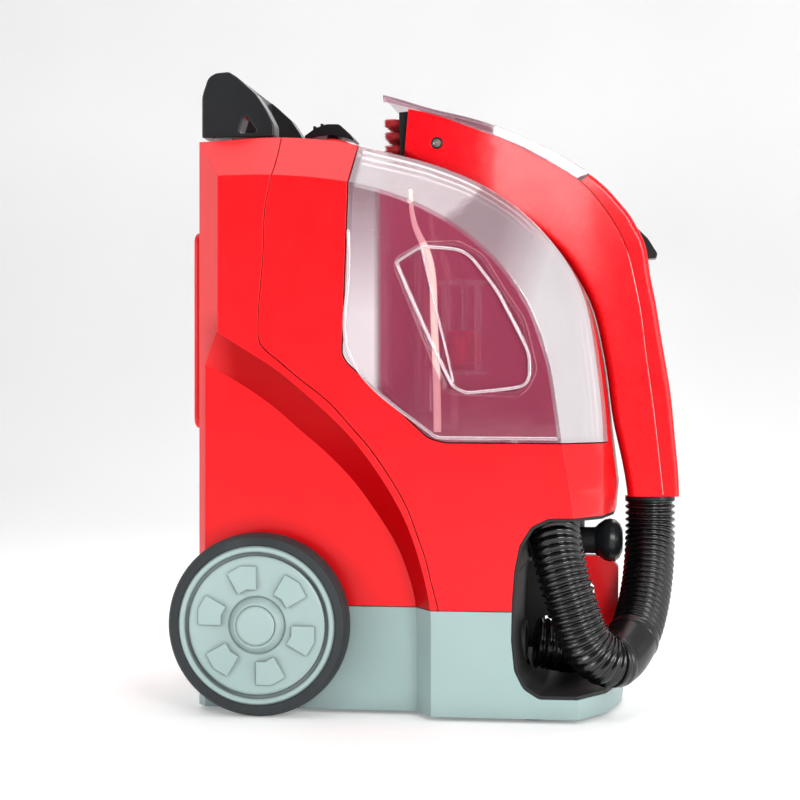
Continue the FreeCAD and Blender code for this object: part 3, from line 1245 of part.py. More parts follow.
def housing_screws():
    """Four slotted screw heads on the rear face."""
    screws = []
    places = ((-70.0, 128.0), (70.0, 128.0), (-70.0, 352.0), (70.0, 352.0))
    for k, (y, z) in enumerate(places):
        head = cyl("case_screw_%d" % k, "Dims.screw_r", 1.8, (-151.5, y, z), (1, 0, 0))
        slot = box("case_slot_%d" % k, 1.0, 5.2, 1.3, (-151.6, y - 2.6, z - 0.65))
        screws.append(cut("case_screw_cut_%d" % k, head, slot))
    keep_shifted(fuse("case_screws", *screws), "housing_screws")


# ---------------------------------------------------------------- build, check and export
for build in (
        front_housing, rear_housing, handle_bezel, rear_cover, base_tray, hose_bay_liner,
        wheels, axle, axle_brackets, axle_retainers, front_feet,
        handle_tubes, handle_grip, handle_button,
        recovery_tank, solution_tank, tank_caps, float_cage, float_ball, tank_docks,
        tool_shells, tool_spine, nozzle_window, brush, trigger_button, spray_parts,
        tool_hose_cuff, tool_screws, hose_peg, hose_keeper, vacuum_hose,
        vac_motor, fan, motor_shaft, motor_mount, suction_duct, recovery_duct,
        solution_pump, solution_tubes, power_rocker, rocker_bracket,
        cord_hook_lower, cord_hook_upper, power_cord, power_plug, housing_screws):
    build()

doc.recompute()
failed = [o.Name for o in doc.Objects if any(k in ("Invalid", "Error") for k in o.State)]
if failed:
    raise RuntimeError("objects with errors: %s" % failed)
os.makedirs("parts", exist_ok=True)
for obj, name in parts:
    if obj.Shape.isNull() or not obj.Shape.isValid() or not obj.Shape.Solids:
        raise RuntimeError("bad shape: %s" % name)
    obj.Shape.exportStep("parts/%s.step" % name)
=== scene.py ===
"""Portable carpet cleaner with two clear tanks, a ribbed hose and a hand tool.

The frame is in metres with +Z up. The front of the machine faces +X and its right side
faces -Y, towards the camera. Measured points are in drawing millimetres and pass
through place().
"""
import bpy
import math
import random
import numpy as np
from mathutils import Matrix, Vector


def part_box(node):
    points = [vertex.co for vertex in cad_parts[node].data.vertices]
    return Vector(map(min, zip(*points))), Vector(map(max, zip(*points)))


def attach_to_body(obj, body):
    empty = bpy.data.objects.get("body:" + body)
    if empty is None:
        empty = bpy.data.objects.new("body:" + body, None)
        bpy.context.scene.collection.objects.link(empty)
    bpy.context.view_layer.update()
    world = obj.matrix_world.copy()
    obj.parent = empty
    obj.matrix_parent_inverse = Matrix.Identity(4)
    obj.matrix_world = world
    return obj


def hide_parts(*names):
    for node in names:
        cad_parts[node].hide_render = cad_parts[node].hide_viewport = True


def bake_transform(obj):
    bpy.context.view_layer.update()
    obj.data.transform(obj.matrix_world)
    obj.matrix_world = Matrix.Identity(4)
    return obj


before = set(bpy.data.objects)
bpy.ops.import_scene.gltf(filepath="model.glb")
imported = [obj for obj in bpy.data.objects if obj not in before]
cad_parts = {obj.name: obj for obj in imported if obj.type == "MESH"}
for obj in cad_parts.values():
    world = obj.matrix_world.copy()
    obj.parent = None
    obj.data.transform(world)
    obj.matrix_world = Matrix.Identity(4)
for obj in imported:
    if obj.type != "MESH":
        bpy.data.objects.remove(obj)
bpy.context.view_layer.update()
random.seed(7)

DRAWING_X_SHIFT = -13.7  # mm from drawing x to frame x


def frame_x(x):
    """Frame x in metres of a drawing x in mm."""
    return (x + DRAWING_X_SHIFT) / 1000.0


def place(x, y, z):
    """Frame point in metres of a drawing point in mm."""
    return Vector((frame_x(x), y / 1000.0, z / 1000.0))


# ------------------------------------------------------------------ node building
def feed(tree, socket, value):
    """Link an output to the socket, or set its value; colours are given as RGB."""
    if isinstance(value, bpy.types.NodeSocket):
        tree.links.new(value, socket)
    elif value is not None:
        socket.default_value = (*value, 1.0) if socket.type == "RGBA" else value


class Nodes:
    """Short calls for building a node tree."""

    def __init__(self, tree):
        self.tree = tree
        self.coords = self.node("TexCoord")

    def node(self, kind, *values, props=None, **inputs):
        """Add a node; inputs are fed by position or by name, with _ for a space."""
        node = self.tree.nodes.new("ShaderNode" + kind)
        for key, value in (props or {}).items():
            setattr(node, key, value)
        for index, value in enumerate(values):
            feed(self.tree, node.inputs[index], value)
        for key, value in inputs.items():
            feed(self.tree, node.inputs[key.replace("_", " ")], value)
        return node

    def noise(self, scale, detail=4.0, roughness=0.55, stretch=None):
        vector = self.coords.outputs["Object"]
        if stretch:
            vector = self.node("Mapping", Vector=vector, Scale=stretch).outputs["Vector"]
        return self.node("TexNoise", Scale=scale, Detail=detail, Roughness=roughness,
                         Vector=vector).outputs["Fac"]

    def ramp(self, factor, *stops):
        """Colour ramp through (position, RGB) stops."""
        node = self.node("ValToRGB", factor)
        elements = node.color_ramp.elements
        while len(elements) < len(stops):
            elements.new(0.5)
        for element, (position, colour) in zip(elements, stops):
            element.position = position
            element.color = (*colour, 1.0)
        return node.outputs["Color"]

    def span(self, value, low, high, start=0.3, end=0.7):
        """Map start..end of the value to low..high."""
        return self.node("MapRange", Value=value, From_Min=start, From_Max=end,
                         To_Min=low, To_Max=high).outputs["Result"]

    def fade_in(self, value, start, end):
        return self.span(value, 0.0, 1.0, start, end)

    def fade_out(self, value, start, end):
        return self.span(value, 1.0, 0.0, start, end)

    def math(self, operation, first, second=None):
        return self.node("Math", first, second, props={"operation": operation}).outputs[0]

    def times(self, first, second):
        return self.math("MULTIPLY", first, second)

    def inverse(self, mask):
        return self.math("SUBTRACT", 1.0, mask)

    def mix(self, factor, first, second, blend="MIX"):
        return self.node("MixRGB", factor, first, second,
                         props={"blend_type": blend}).outputs["Color"]

    def split(self, vector):
        """Outputs X, Y and Z of a vector."""
        return self.node("SeparateXYZ", Vector=vector).outputs

    def position(self):
        return self.split(self.coords.outputs["Object"])

    def bump(self, height, strength, distance, normal=None):
        return self.node("Bump", Strength=strength, Distance=distance, Height=height,
                         Normal=normal).outputs["Normal"]

    def soft_edge(self, radius):
        return self.node("Bevel", Radius=radius, props={"samples": 4}).outputs["Normal"]


class Material(Nodes):
    """A new material in object space."""

    def __init__(self, name):
        self.material = bpy.data.materials.new(name)
        self.material.use_nodes = True
        self.material.node_tree.nodes.clear()
        super().__init__(self.material.node_tree)

    def finish(self, shader):
        self.node("OutputMaterial", Surface=shader)
        return self.material

    def principled(self, **inputs):
        return self.finish(self.node("BsdfPrincipled", **inputs).outputs["BSDF"])


def scaled(colour, factor):
    return tuple(channel * factor for channel in colour)


# ------------------------------------------------------------------ materials
def slanted_side_mask(m):
    """Low side faces of the body that slant away from straight sideways, which get painted
    shade.
    """
    normal = m.split(m.node("NewGeometry").outputs["Normal"])
    position = m.position()
    sideways = m.math("ABSOLUTE", normal["Y"])
    mask = m.times(m.fade_out(sideways, start=0.93, end=0.985),
                   m.fade_in(sideways, start=0.25, end=0.40))
    mask = m.times(mask, m.fade_in(position["X"], frame_x(-148.0), frame_x(-118.0)))
    mask = m.times(mask, m.fade_out(position["X"], frame_x(40.0), frame_x(60.0)))
    return m.times(mask, m.fade_out(position["Z"], start=0.270, end=0.285))


def plastic(name, dark, light, roughness, grain=2400.0, grain_height=0.00002, bevel=0.0011,
            coat=0.0, specular=0.5, crevice_shade=0.0, slant_shade=0.0):
    """Moulded plastic: slow colour drift, fine grain, softened edges, painted shade in
    crevices.
    """
    m = Material(name)
    drift = m.noise(scale=9.0, detail=3.0)
    fine = m.noise(scale=70.0, detail=4.0, roughness=0.5)
    colour = m.ramp(drift, (0.3, dark), (0.7, light))
    # Painted shade: ambient occlusion darkens the colour in crevices and recesses.
    if crevice_shade:
        openness = m.node("AmbientOcclusion", Distance=0.022, props={"samples": 8})
        crevice = m.span(openness.outputs["AO"], low=crevice_shade, high=0.0, start=0.2, end=0.9)
        colour = m.mix(crevice, colour, (0.34, 0.22, 0.24), blend="MULTIPLY")
    # Painted shade: the slanted low side faces are darkened, with less coat and specular.
    if slant_shade:
        mask = slanted_side_mask(m)
        colour = m.mix(m.times(mask, slant_shade), colour, (0.46, 0.20, 0.30),
                       blend="MULTIPLY")
        coat = m.times(m.inverse(mask), coat)
        specular = m.times(m.inverse(m.times(mask, 0.8)), specular)
    edge = m.soft_edge(bevel) if bevel else None
    normal = m.bump(m.noise(scale=grain, detail=2.0), strength=0.35, distance=grain_height,
                    normal=edge)
    return m.principled(
        Base_Color=colour, Roughness=m.span(fine, roughness - 0.015, roughness + 0.025),
        Normal=normal, Coat_Weight=coat, Coat_Roughness=0.08, IOR=1.46,
        Specular_IOR_Level=specular)


def tyre_rubber():
    """Scuffed rubber with fine grooves running round the tyre."""
    groove_pitch = 0.0034
    m = Material("tyre_rubber")
    across = m.math("ABSOLUTE", m.position()["Y"])
    groove = m.math("SINE", m.times(across, 2.0 * math.pi / groove_pitch))
    scuff = m.noise(scale=55.0, detail=6.0, roughness=0.65)
    colour = m.ramp(scuff, (0.35, (0.012, 0.016, 0.018)), (0.62, (0.022, 0.028, 0.031)),
                    (0.8, (0.045, 0.052, 0.055)))
    grooved = m.bump(groove, strength=0.35, distance=0.0003)
    normal = m.bump(m.noise(scale=900.0, detail=3.0), strength=0.5, distance=0.00012,
                    normal=grooved)
    return m.principled(Base_Color=colour, Roughness=m.span(scuff, low=0.62, high=0.82),
                        Normal=normal)


def black_flex(name, roughness, coat):
    """Near-black material of the hose, its sleeve and the cord."""
    m = Material(name)
    fine = m.noise(scale=120.0, detail=4.0)
    colour = m.ramp(fine, (0.3, (0.002, 0.002, 0.0025)), (0.7, (0.005, 0.005, 0.0055)))
    return m.principled(
        Base_Color=colour, Roughness=m.span(fine, roughness, roughness + 0.1),
        Coat_Weight=coat, Coat_Roughness=0.12,
        Normal=m.bump(m.noise(scale=1500.0, detail=2.0), strength=0.3, distance=0.00003))


def metal(name, colour, roughness, stretch=None):
    m = Material(name)
    streaks = m.noise(scale=60.0, detail=6.0, roughness=0.6, stretch=stretch)
    return m.principled(
        Base_Color=m.ramp(streaks, (0.3, scaled(colour, 0.86)), (0.7, colour)),
        Metallic=1.0, Roughness=m.span(streaks, roughness - 0.06, roughness + 0.1),
        Normal=m.bump(streaks, strength=0.15, distance=0.00005))


def side_panel_looks(m, tint, body, haze, panel):
    """Give the flat side panel its own colours and haze, and its rim and a band theirs; the
    paler panel top, the hazier front rim and the pale band are painted highlights.
    """
    normal = m.split(m.node("NewGeometry").outputs["True Normal"])
    panel_mask = m.fade_in(m.math("ABSOLUTE", normal["Y"]), start=0.955, end=0.995)
    position = m.position()

    def reach(axis, start, size):
        """Term of the superellipse that rounds the panel's upper front corner."""
        past = m.math("MAXIMUM", m.math("SUBTRACT", axis, start), 0.0)
        return m.math("POWER", m.math("DIVIDE", past, size), 2.3)

    reach_x = reach(position["X"], start=frame_x(-60.0), size=0.170)
    reach_z = reach(position["Z"], start=0.180, size=0.192)
    inside = m.fade_out(m.math("ADD", reach_x, reach_z), start=0.97, end=1.03)
    ahead = m.fade_in(position["X"], frame_x(-17.0), frame_x(-13.5))
    panel_mask = m.times(panel_mask, m.times(inside, ahead))

    # Painted light: the panel is a little paler towards its top.
    low_down = m.fade_out(position["Z"], start=0.20, end=0.42)

    def panel_mix(colour, panel_colour):
        paler = tuple(min(1.0, channel) for channel in scaled(panel_colour, 1.12))
        return m.mix(panel_mask, colour, m.ramp(low_down, (0.0, paler), (1.0, panel_colour)))

    tint = panel_mix(tint, panel["tint"])
    body = panel_mix(body, panel["body"])
    haze = m.span(panel_mask, low=haze, high=panel["haze"], start=0.0, end=1.0)

    # Forward ramp, leaning with height: a pink rear rim and a hazier, whiter front rim whose
    # haze is a painted highlight.
    leaning_x = m.math("ADD", position["X"], m.times(position["Z"], -0.25))
    forward = m.fade_in(leaning_x, frame_x(-18.0), frame_x(22.0))
    body = m.mix(m.math("MAXIMUM", forward, panel_mask), (0.66, 0.36, 0.45), body)
    rim_highlight_haze = m.times(m.inverse(panel_mask),
                       m.span(forward, low=0.20, high=0.42, start=0.0, end=1.0))
    haze = m.math("MAXIMUM", haze, rim_highlight_haze)

    # Painted highlight: a pale upright band behind the panel, weaker towards its top.
    highlight_band = m.times(m.fade_out(position["X"], frame_x(-18.0), frame_x(-12.0)),
                   m.span(position["Z"], low=0.85, high=0.25, start=0.28, end=0.375))
    haze = m.math("MAXIMUM", haze, m.times(highlight_band, 0.70))
    return tint, m.mix(highlight_band, body, (0.98, 0.91, 0.94)), haze


def clear(name, tint, haze, body, panel=None):
    """Thin clear wall: tinted see-through, sheen at glancing angles, faint haze.

    panel holds another tint, haze and body colour for the flat side panel."""
    m = Material(name)
    flow = m.noise(scale=22.0, detail=4.0, roughness=0.5, stretch=(1.0, 1.0, 0.35))
    normal = m.bump(m.noise(scale=34.0, detail=2.0), strength=0.10, distance=0.0006,
                    normal=m.soft_edge(0.0016))
    facing = m.node("LayerWeight", Blend=0.42, Normal=normal).outputs
    tint = m.ramp(flow, (0.3, scaled(tint, 0.97)), (0.7, tint))
    body = m.ramp(flow, (0.25, scaled(body, 0.86)), (0.75, body))
    haze = m.span(facing["Facing"], haze * 0.6, haze * 2.6, start=0.0, end=1.0)
    if panel:
        tint, body, haze = side_panel_looks(m, tint, body, haze, panel)
    see_through = m.node("BsdfTransparent", Color=tint).outputs[0]
    sheen = m.node("BsdfGlossy", Color=(1.0, 1.0, 1.0), Normal=normal,
                   Roughness=m.span(flow, low=0.04, high=0.10)).outputs[0]
    cloudy = m.node("BsdfDiffuse", Color=body).outputs[0]
    wall = m.node("MixShader", haze, see_through, cloudy).outputs[0]
    glancing = m.span(facing["Fresnel"], low=0.02, high=0.85, start=0.0, end=0.9)
    return m.finish(m.node("MixShader", glancing, wall, sheen).outputs[0])


def cream_plastic():
    """Pale translucent plastic inside the tank, with a painted glow from its emission."""
    m = Material("cream_plastic")
    colour = m.ramp(m.noise(scale=60.0, detail=3.0),
                    (0.3, (0.86, 0.78, 0.66)), (0.7, (0.95, 0.87, 0.74)))
    # Painted glow: the emission lights the plastic beyond what the lamps give.
    return m.principled(
        Base_Color=colour, Emission_Color=colour, Emission_Strength=0.75,
        Roughness=m.span(m.noise(scale=140.0, detail=3.0), low=0.35, high=0.45))


def bristle_nylon():
    m = Material("bristle_nylon")
    fine = m.noise(scale=700.0, detail=3.0)
    colour = m.ramp(fine, (0.3, (0.30, 0.004, 0.010)), (0.7, (0.55, 0.012, 0.02)))
    return m.principled(Base_Color=colour, Roughness=m.span(fine, low=0.35, high=0.5))


MATERIALS = {
    "red": plastic("red_plastic", dark=(0.80, 0.0016, 0.0050), light=(0.90, 0.0026, 0.0080),
                   roughness=0.32, coat=0.12, specular=0.42, crevice_shade=0.8, slant_shade=0.9),
    "tool_red": plastic("tool_red_plastic", dark=(0.78, 0.0014, 0.0060),
                        light=(0.88, 0.0022, 0.0100), roughness=0.27, coat=0.06,
                        specular=0.36, crevice_shade=0.8),
    "grey": plastic("grey_plastic", dark=(0.29, 0.41, 0.40), light=(0.33, 0.455, 0.445),
                    roughness=0.42, grain=1700.0, grain_height=0.00004, crevice_shade=0.5),
    "hub": plastic("hub_plastic", dark=(0.30, 0.41, 0.40), light=(0.35, 0.465, 0.455),
                   roughness=0.38, bevel=0.0008, crevice_shade=0.6),
    "black": plastic("black_plastic", dark=(0.008, 0.009, 0.010), light=(0.016, 0.017, 0.019),
                     roughness=0.30, bevel=0.0008, specular=0.4),
    "liner": plastic("liner_plastic", dark=(0.006, 0.006, 0.007), light=(0.012, 0.012, 0.013),
                     roughness=0.55, bevel=0.0),
    "dark": plastic("dark_plastic", dark=(0.045, 0.047, 0.05), light=(0.065, 0.067, 0.07),
                    roughness=0.5, bevel=0.0),
    "white": plastic("white_plastic", dark=(0.70, 0.70, 0.67), light=(0.76, 0.76, 0.73),
                     roughness=0.4, bevel=0.0),
    "rubber": plastic("soft_rubber", dark=(0.014, 0.014, 0.015), light=(0.024, 0.024, 0.025),
                      roughness=0.7, grain=900.0, grain_height=0.00006, bevel=0.0),
    "tyre": tyre_rubber(),
    "hose": black_flex("hose_plastic", roughness=0.20, coat=0.35),
    "sleeve": black_flex("hose_sleeve", roughness=0.26, coat=0.1),
    "cord": black_flex("cord_rubber", roughness=0.5, coat=0.0),
    "steel": metal("steel", colour=(0.62, 0.63, 0.64), roughness=0.28,
                   stretch=(1.0, 1.0, 0.04)),
    "screw": metal("screw_steel", colour=(0.80, 0.74, 0.66), roughness=0.30),
    "brass": metal("brass", colour=(0.78, 0.58, 0.28), roughness=0.30),
    "clear": clear("clear_tank", tint=(0.995, 0.98, 0.985), haze=0.085, body=(1.0, 0.93, 0.96),
                   panel=dict(tint=(0.955, 0.80, 0.85), haze=0.26, body=(0.62, 0.105, 0.20))),
    # The bead material's strong white haze is a painted highlight along the beads.
    "ridge": clear("clear_ridge", tint=(0.96, 0.93, 0.95), haze=0.42, body=(0.98, 0.86, 0.92)),
    "cream": cream_plastic(),
    "window": clear("clear_window", tint=(0.90, 0.74, 0.80), haze=0.20,
                    body=(0.66, 0.40, 0.48)),
    "tube": clear("clear_tube", tint=(0.9, 0.9, 0.9), haze=0.2, body=(0.8, 0.8, 0.8)),
    "bristle": bristle_nylon(),
}

# Material key and the CAD pieces that wear it.
FINISHES = {
    "red": "front_housing rear_housing rear_cover handle_bezel hose_keeper "
           "recovery_drain_cap solution_valve_cap float_ball",
    "tool_red": "tool_right_shell tool_left_shell tool_spine",
    "grey": "base_tray",
    "hub": "right_wheel_hub left_wheel_hub right_hub_cap left_hub_cap handle_button",
    "black": "handle_grip power_rocker hose_peg cord_hook_upper cord_hook_lower "
             "trigger_button tool_hose_cuff brush_holder tank_docks",
    "liner": "hose_bay_liner",
    "dark": "axle_brackets handle_guides fan_housing motor_mount recovery_duct "
            "solution_pump rocker_bracket",
    "white": "impeller solution_valve_stem spray_valve",
    "rubber": "front_feet suction_duct dock_seals power_plug",
    "tyre": "right_tyre left_tyre",
    "steel": "axle axle_retainers vac_motor handle_mid_tubes handle_inner_tubes motor_shaft",
    "screw": "housing_screws tool_screws",
    "brass": "spray_jet",
    "clear": "recovery_tank solution_tank",
    "window": "nozzle_window",
    "tube": "solution_tubes float_cage",
    "hose": "vacuum_hose",
    "cord": "power_cord",
    "bristle": "brush_bristles",
}


def finish_cad_pieces():
    """Give each CAD piece its material; shade shallow angles smooth, corners crisp."""
    for key, names in FINISHES.items():
        for name in names.split():
            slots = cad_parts[name].data.materials
            slots.clear()
            slots.append(MATERIALS[key])
    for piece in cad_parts.values():
        polygons = piece.data.polygons
        polygons.foreach_set("use_smooth", [True] * len(polygons))
        weld = piece.modifiers.new("weld", "WELD")
        weld.merge_threshold = 0.00001
        split = piece.modifiers.new("split", "EDGE_SPLIT")
        split.split_angle = math.radians(26.0)
        split.use_edge_sharp = False
        weighted = piece.modifiers.new("weighted", "WEIGHTED_NORMAL")
        weighted.weight = 80


# ------------------------------------------------------------------ mesh helpers
def add_mesh(name, verts, faces, material, smooth=True):
    mesh = bpy.data.meshes.new(name)
    mesh.from_pydata([tuple(v) for v in verts], [], faces)
    mesh.update()
    obj = bpy.data.objects.new(name, mesh)
    bpy.context.scene.collection.objects.link(obj)
    mesh.materials.append(material)
    mesh.polygons.foreach_set("use_smooth", [smooth] * len(mesh.polygons))
    return obj


def attach(obj, body):
    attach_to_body(obj, body)


def spline(points, step, closed=False):
    """Evenly spaced points on a natural cubic through the given ones, and their distances."""
    knots = np.array([tuple(p) for p in points], float)
    if closed:
        knots = np.vstack([knots[-3:], knots, knots[:4]])
    gaps = np.linalg.norm(np.diff(knots, axis=0), axis=1)
    along = np.concatenate([[0], np.cumsum(gaps)])
    count = len(knots)
    system = np.zeros((count, count))
    target = np.zeros((count, 3))
    system[0, 0] = system[-1, -1] = 1.0
    for i in range(1, count - 1):
        before, after = along[i] - along[i - 1], along[i + 1] - along[i]
        system[i, i - 1:i + 2] = before, 2 * (before + after), after
        target[i] = 6 * ((knots[i + 1] - knots[i]) / after - (knots[i] - knots[i - 1]) / before)
    bend = np.linalg.solve(system, target)

    def point_at(u):
        i = int(min(max(np.searchsorted(along, u) - 1, 0), count - 2))
        h = along[i + 1] - along[i]
        a, b = (along[i + 1] - u) / h, (u - along[i]) / h
        return (a * knots[i] + b * knots[i + 1]
                + ((a ** 3 - a) * bend[i] + (b ** 3 - b) * bend[i + 1]) * h * h / 6)

    first, last = (along[3], along[-4]) if closed else (along[0], along[-1])
    fine = np.array([point_at(u) for u in np.linspace(first, last, 1600)])
    fine_gaps = np.linalg.norm(np.diff(fine, axis=0), axis=1)
    fine_along = np.concatenate([[0], np.cumsum(fine_gaps)])
    steps = max(int(round(fine_along[-1] / step)), 2)
    distances = np.linspace(0, fine_along[-1], steps + 1)
    path = np.stack([np.interp(distances, fine_along, fine[:, k]) for k in range(3)], 1)
    return path, distances


def tube(name, path, radii, segments, material, closed=False):
    """Untwisted tube along a path, with one radius or one per point; open paths get caps."""
    count = len(path)
    radii = np.broadcast_to(radii, count)
    tangents = np.gradient(path, axis=0)
    if closed:
        tangents[0] = tangents[-1] = path[1] - path[-2]
    tangents /= np.linalg.norm(tangents, axis=1)[:, None]
    helper = [0.0, 1.0, 0.0] if abs(tangents[0][1]) < 0.9 else [1.0, 0.0, 0.0]
    side = np.cross(tangents[0], helper)
    side /= np.linalg.norm(side)
    verts = []
    for centre, tangent, radius in zip(path, tangents, radii):
        side = side - tangent * np.dot(side, tangent)
        side /= np.linalg.norm(side)
        other = np.cross(tangent, side)
        for k in range(segments):
            angle = 2 * math.pi * k / segments
            verts.append(centre + (side * math.cos(angle) + other * math.sin(angle)) * radius)
    faces = []
    for i in range(count - 1):
        for k in range(segments):
            a, b = i * segments + k, i * segments + (k + 1) % segments
            faces.append((a, a + segments, b + segments, b))
    if not closed:
        faces.append(tuple(range(segments)))
        faces.append(tuple((count - 1) * segments + k for k in reversed(range(segments))))
    obj = add_mesh(name, verts, faces, material)
    if not closed:
        for cap in obj.data.polygons[-2:]:
            cap.use_smooth = False
    return obj


# ------------------------------------------------------------------ suction hose
# Hose centre line (x, y, z) in drawing mm: down from its front end, then wrapped.
HOSE_LINE = [
    (170.3, 0, 147.2), (170.4, -1, 126), (169.3, -14, 98), (165.0, -36, 70),
    (156.5, -62, 48.5), (143.5, -82, 38.6), (129.5, -93, 49), (119.0, -97, 74),
    (110.5, -95, 102), (104.5, -82, 128), (101.6, -50, 145.6), (101.4, 0, 147.8),
    (101.4, 45, 145.4), (101.0, 74, 130), (101.0, 88, 106), (104.0, 92, 78),
    (111.5, 84, 52), (114.5, 58, 40.4), (114.0, 28, 38.2), (113.5, 4, 38.4),
    (113.0, -18.4, 39.4), (109.7, -30.7, 41.4), (100.7, -39.7, 44.2), (88.6, -43, 46.0)]
HOSE_JOINT = 5  # entry of HOSE_LINE where the free and wrapped runs meet
RIB_PITCH = 0.0049
STEPS_PER_RIB = 8
VALLEY_RADIUS = 0.0159
RIB_HEIGHT = 0.0025
SLEEVE_RADIUS = 0.0185


def rib_radius(s):
    """Corrugated wall: rounded ridges with narrower valleys between them."""
    wave = 0.5 + 0.5 * math.cos(2 * math.pi * s / RIB_PITCH)
    return VALLEY_RADIUS + RIB_HEIGHT * (wave ** 0.62)


def sleeve_radius(edge):
    """Sleeve radius at a distance from its nearer end: eased rim, then a raised ring."""
    rim_drop = 0.0012 * max(0.0, 1 - edge / 0.0018) ** 2
    return SLEEVE_RADIUS - rim_drop + (0.0005 if 0.004 < edge < 0.0065 else 0.0)


def build_hose():
    path, distances = spline([place(*p) for p in HOSE_LINE], RIB_PITCH / STEPS_PER_RIB)
    joint, hose_end = place(*HOSE_LINE[HOSE_JOINT]), place(*HOSE_LINE[0])
    nearest = int(np.argmin(np.linalg.norm(path - np.array(joint), axis=1)))
    cut = int(round(distances[nearest] / RIB_PITCH)) * STEPS_PER_RIB
    radii = np.array([rib_radius(s) for s in distances])
    free = tube("hose_free_run", path[:cut + 1], radii[:cut + 1], 40, MATERIALS["hose"])
    wrapped = tube("hose_wrapped_run", path[cut:], radii[cut:], 40, MATERIALS["hose"])

    # Smooth sleeve over the lower end of the free run.
    start, end = distances[cut] - 0.040, distances[cut] - 0.002
    covered = [i for i, s in enumerate(distances) if start <= s <= end]
    sleeve_radii = [sleeve_radius(min(distances[i] - start, end - distances[i]))
                    for i in covered]
    sleeve = tube("hose_sleeve", path[covered], sleeve_radii, 48, MATERIALS["sleeve"])

    for obj in (free, sleeve):
        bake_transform(obj)
    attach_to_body(wrapped, "machine")
    for obj in (free, wrapped):
        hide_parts("vacuum_hose")


# ------------------------------------------------------------------ brush bristles
BRUSH_ROWS, TUFTS_PER_ROW, FIBRES_PER_TUFT = 3, 21, 26
# Drawing mm.
ROW_Z, ROW_PITCH, ROW_SETBACK = 404.2, 9.6, 0.2
TUFT_X, TUFT_PITCH, ODD_ROW_SHIFT = -10.2, 3.86, 1.2
TUFT_RADIUS, FIBRE_LENGTH = 1.75, 11.2
FIBRE_RADIUS = 0.00030  # metres
GOLDEN_ANGLE = 2.39996
# Fraction of the length, fraction of the radius.
FIBRE_STATIONS = ((0.0, 1.0), (0.6, 0.9), (1.0, 0.35))


def add_fibre(verts, faces, root, direction):
    """Four-sided tapering fibre."""
    side = direction.cross(Vector((0, 0, 1))).normalized()
    upward = side.cross(direction).normalized()
    base = len(verts)
    for along, taper in FIBRE_STATIONS:
        centre = root + direction * along
        for q in range(4):
            angle = math.pi / 4 + q * math.pi / 2
            verts.append(centre + side * (math.cos(angle) * FIBRE_RADIUS * taper)
                         + upward * (math.sin(angle) * FIBRE_RADIUS * taper))
    for ring in (0, 4):
        for q in range(4):
            a, b = base + ring + q, base + ring + (q + 1) % 4
            faces.append((a, b, b + 4, a + 4))
    faces.append((base + 3, base + 2, base + 1, base))
    faces.append((base + 8, base + 9, base + 10, base + 11))


def build_brush():
    """Rows of round tufts whose fibres point to -X and splay outwards."""
    verts, faces = [], []
    for row in range(BRUSH_ROWS):
        tuft_z = ROW_Z + row * ROW_PITCH
        for tuft in range(TUFTS_PER_ROW):
            tuft_y = -(TUFTS_PER_ROW - 1) / 2 * TUFT_PITCH + tuft * TUFT_PITCH
            tuft_y += ODD_ROW_SHIFT if row % 2 else 0.0
            for k in range(FIBRES_PER_TUFT):
                radius = TUFT_RADIUS * math.sqrt((k + 0.5) / FIBRES_PER_TUFT)
                off_y = radius * math.cos(k * GOLDEN_ANGLE)
                off_z = radius * math.sin(k * GOLDEN_ANGLE)
                root = place(TUFT_X - ROW_SETBACK * row, tuft_y + off_y,
                             tuft_z + off_z * 1.25)
                direction = Vector((
                    -(FIBRE_LENGTH + random.uniform(-0.9, 0.9)) / 1000.0,
                    (off_y * 0.35 + random.uniform(-0.5, 0.5)) / 1000.0,
                    (off_z * 0.55 + random.uniform(-0.5, 0.5)) / 1000.0))
                add_fibre(verts, faces, root, direction)
    brush = add_mesh("brush_fibres", verts, faces, MATERIALS["bristle"], smooth=False)
    attach(brush, "tool")
    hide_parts("brush_bristles")


# ------------------------------------------------------------------ power cord
CORD_RADIUS = 0.0033  # metres
# Drawing mm.
FIRST_TURN_X, TURN_PITCH, TURN_RADIUS = -146.4, 7.1, 13.9
LOWER_HOOK_Z, UPPER_HOOK_Z = 228.0, 298.0
# Loose end (x, y, z).
CORD_TAIL = [(-121.8, 14.6, 240.0), (-122.5, 19.0, 256.0), (-128.0, 26.0, 262.0),
             (-134.0, 31.0, 250.0), (-136.0, 33.2, 236.0), (-136.0, 33.4, 227.0)]


def hook_arc(x, z, radius, first_angle):
    """Half circle round a hook, creeping forward by 1.1 mm."""
    angles = [first_angle + math.pi * j / 12.0 for j in range(13)]
    return [(x + 1.1 * j / 12.0, radius * math.cos(a), z + radius * math.sin(a))
            for j, a in enumerate(angles)]


def build_cord():
    """Four turns over the two hooks: down on the right side, up on the left."""
    points = []
    for k in range(4):
        x = FIRST_TURN_X + TURN_PITCH * k
        r = TURN_RADIUS + (0.35 if k % 2 else 0.0)
        points += hook_arc(x, UPPER_HOOK_Z, r, 0.0)
        points += [(x + 2.0, -r - 0.5, 275.0), (x + 3.0, -r - 0.7, 250.0)]
        points += hook_arc(x + 3.4, LOWER_HOOK_Z, r, math.pi)
        points += [(x + 5.6, r + 0.5, 250.0), (x + 6.6, r + 0.7, 275.0)]
    points = points[:-2] + CORD_TAIL  # the tail takes the place of the last climb
    path, _ = spline([place(*p) for p in points], 0.0016)
    cord = tube("power_cord_wound", path, CORD_RADIUS, 14, MATERIALS["cord"])
    attach(cord, "machine")
    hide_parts("power_cord")


# ------------------------------------------------------------------ tank details
TANK_SIDES = (("recovery", -118.0), ("solution", 118.0))  # body, y of its side face
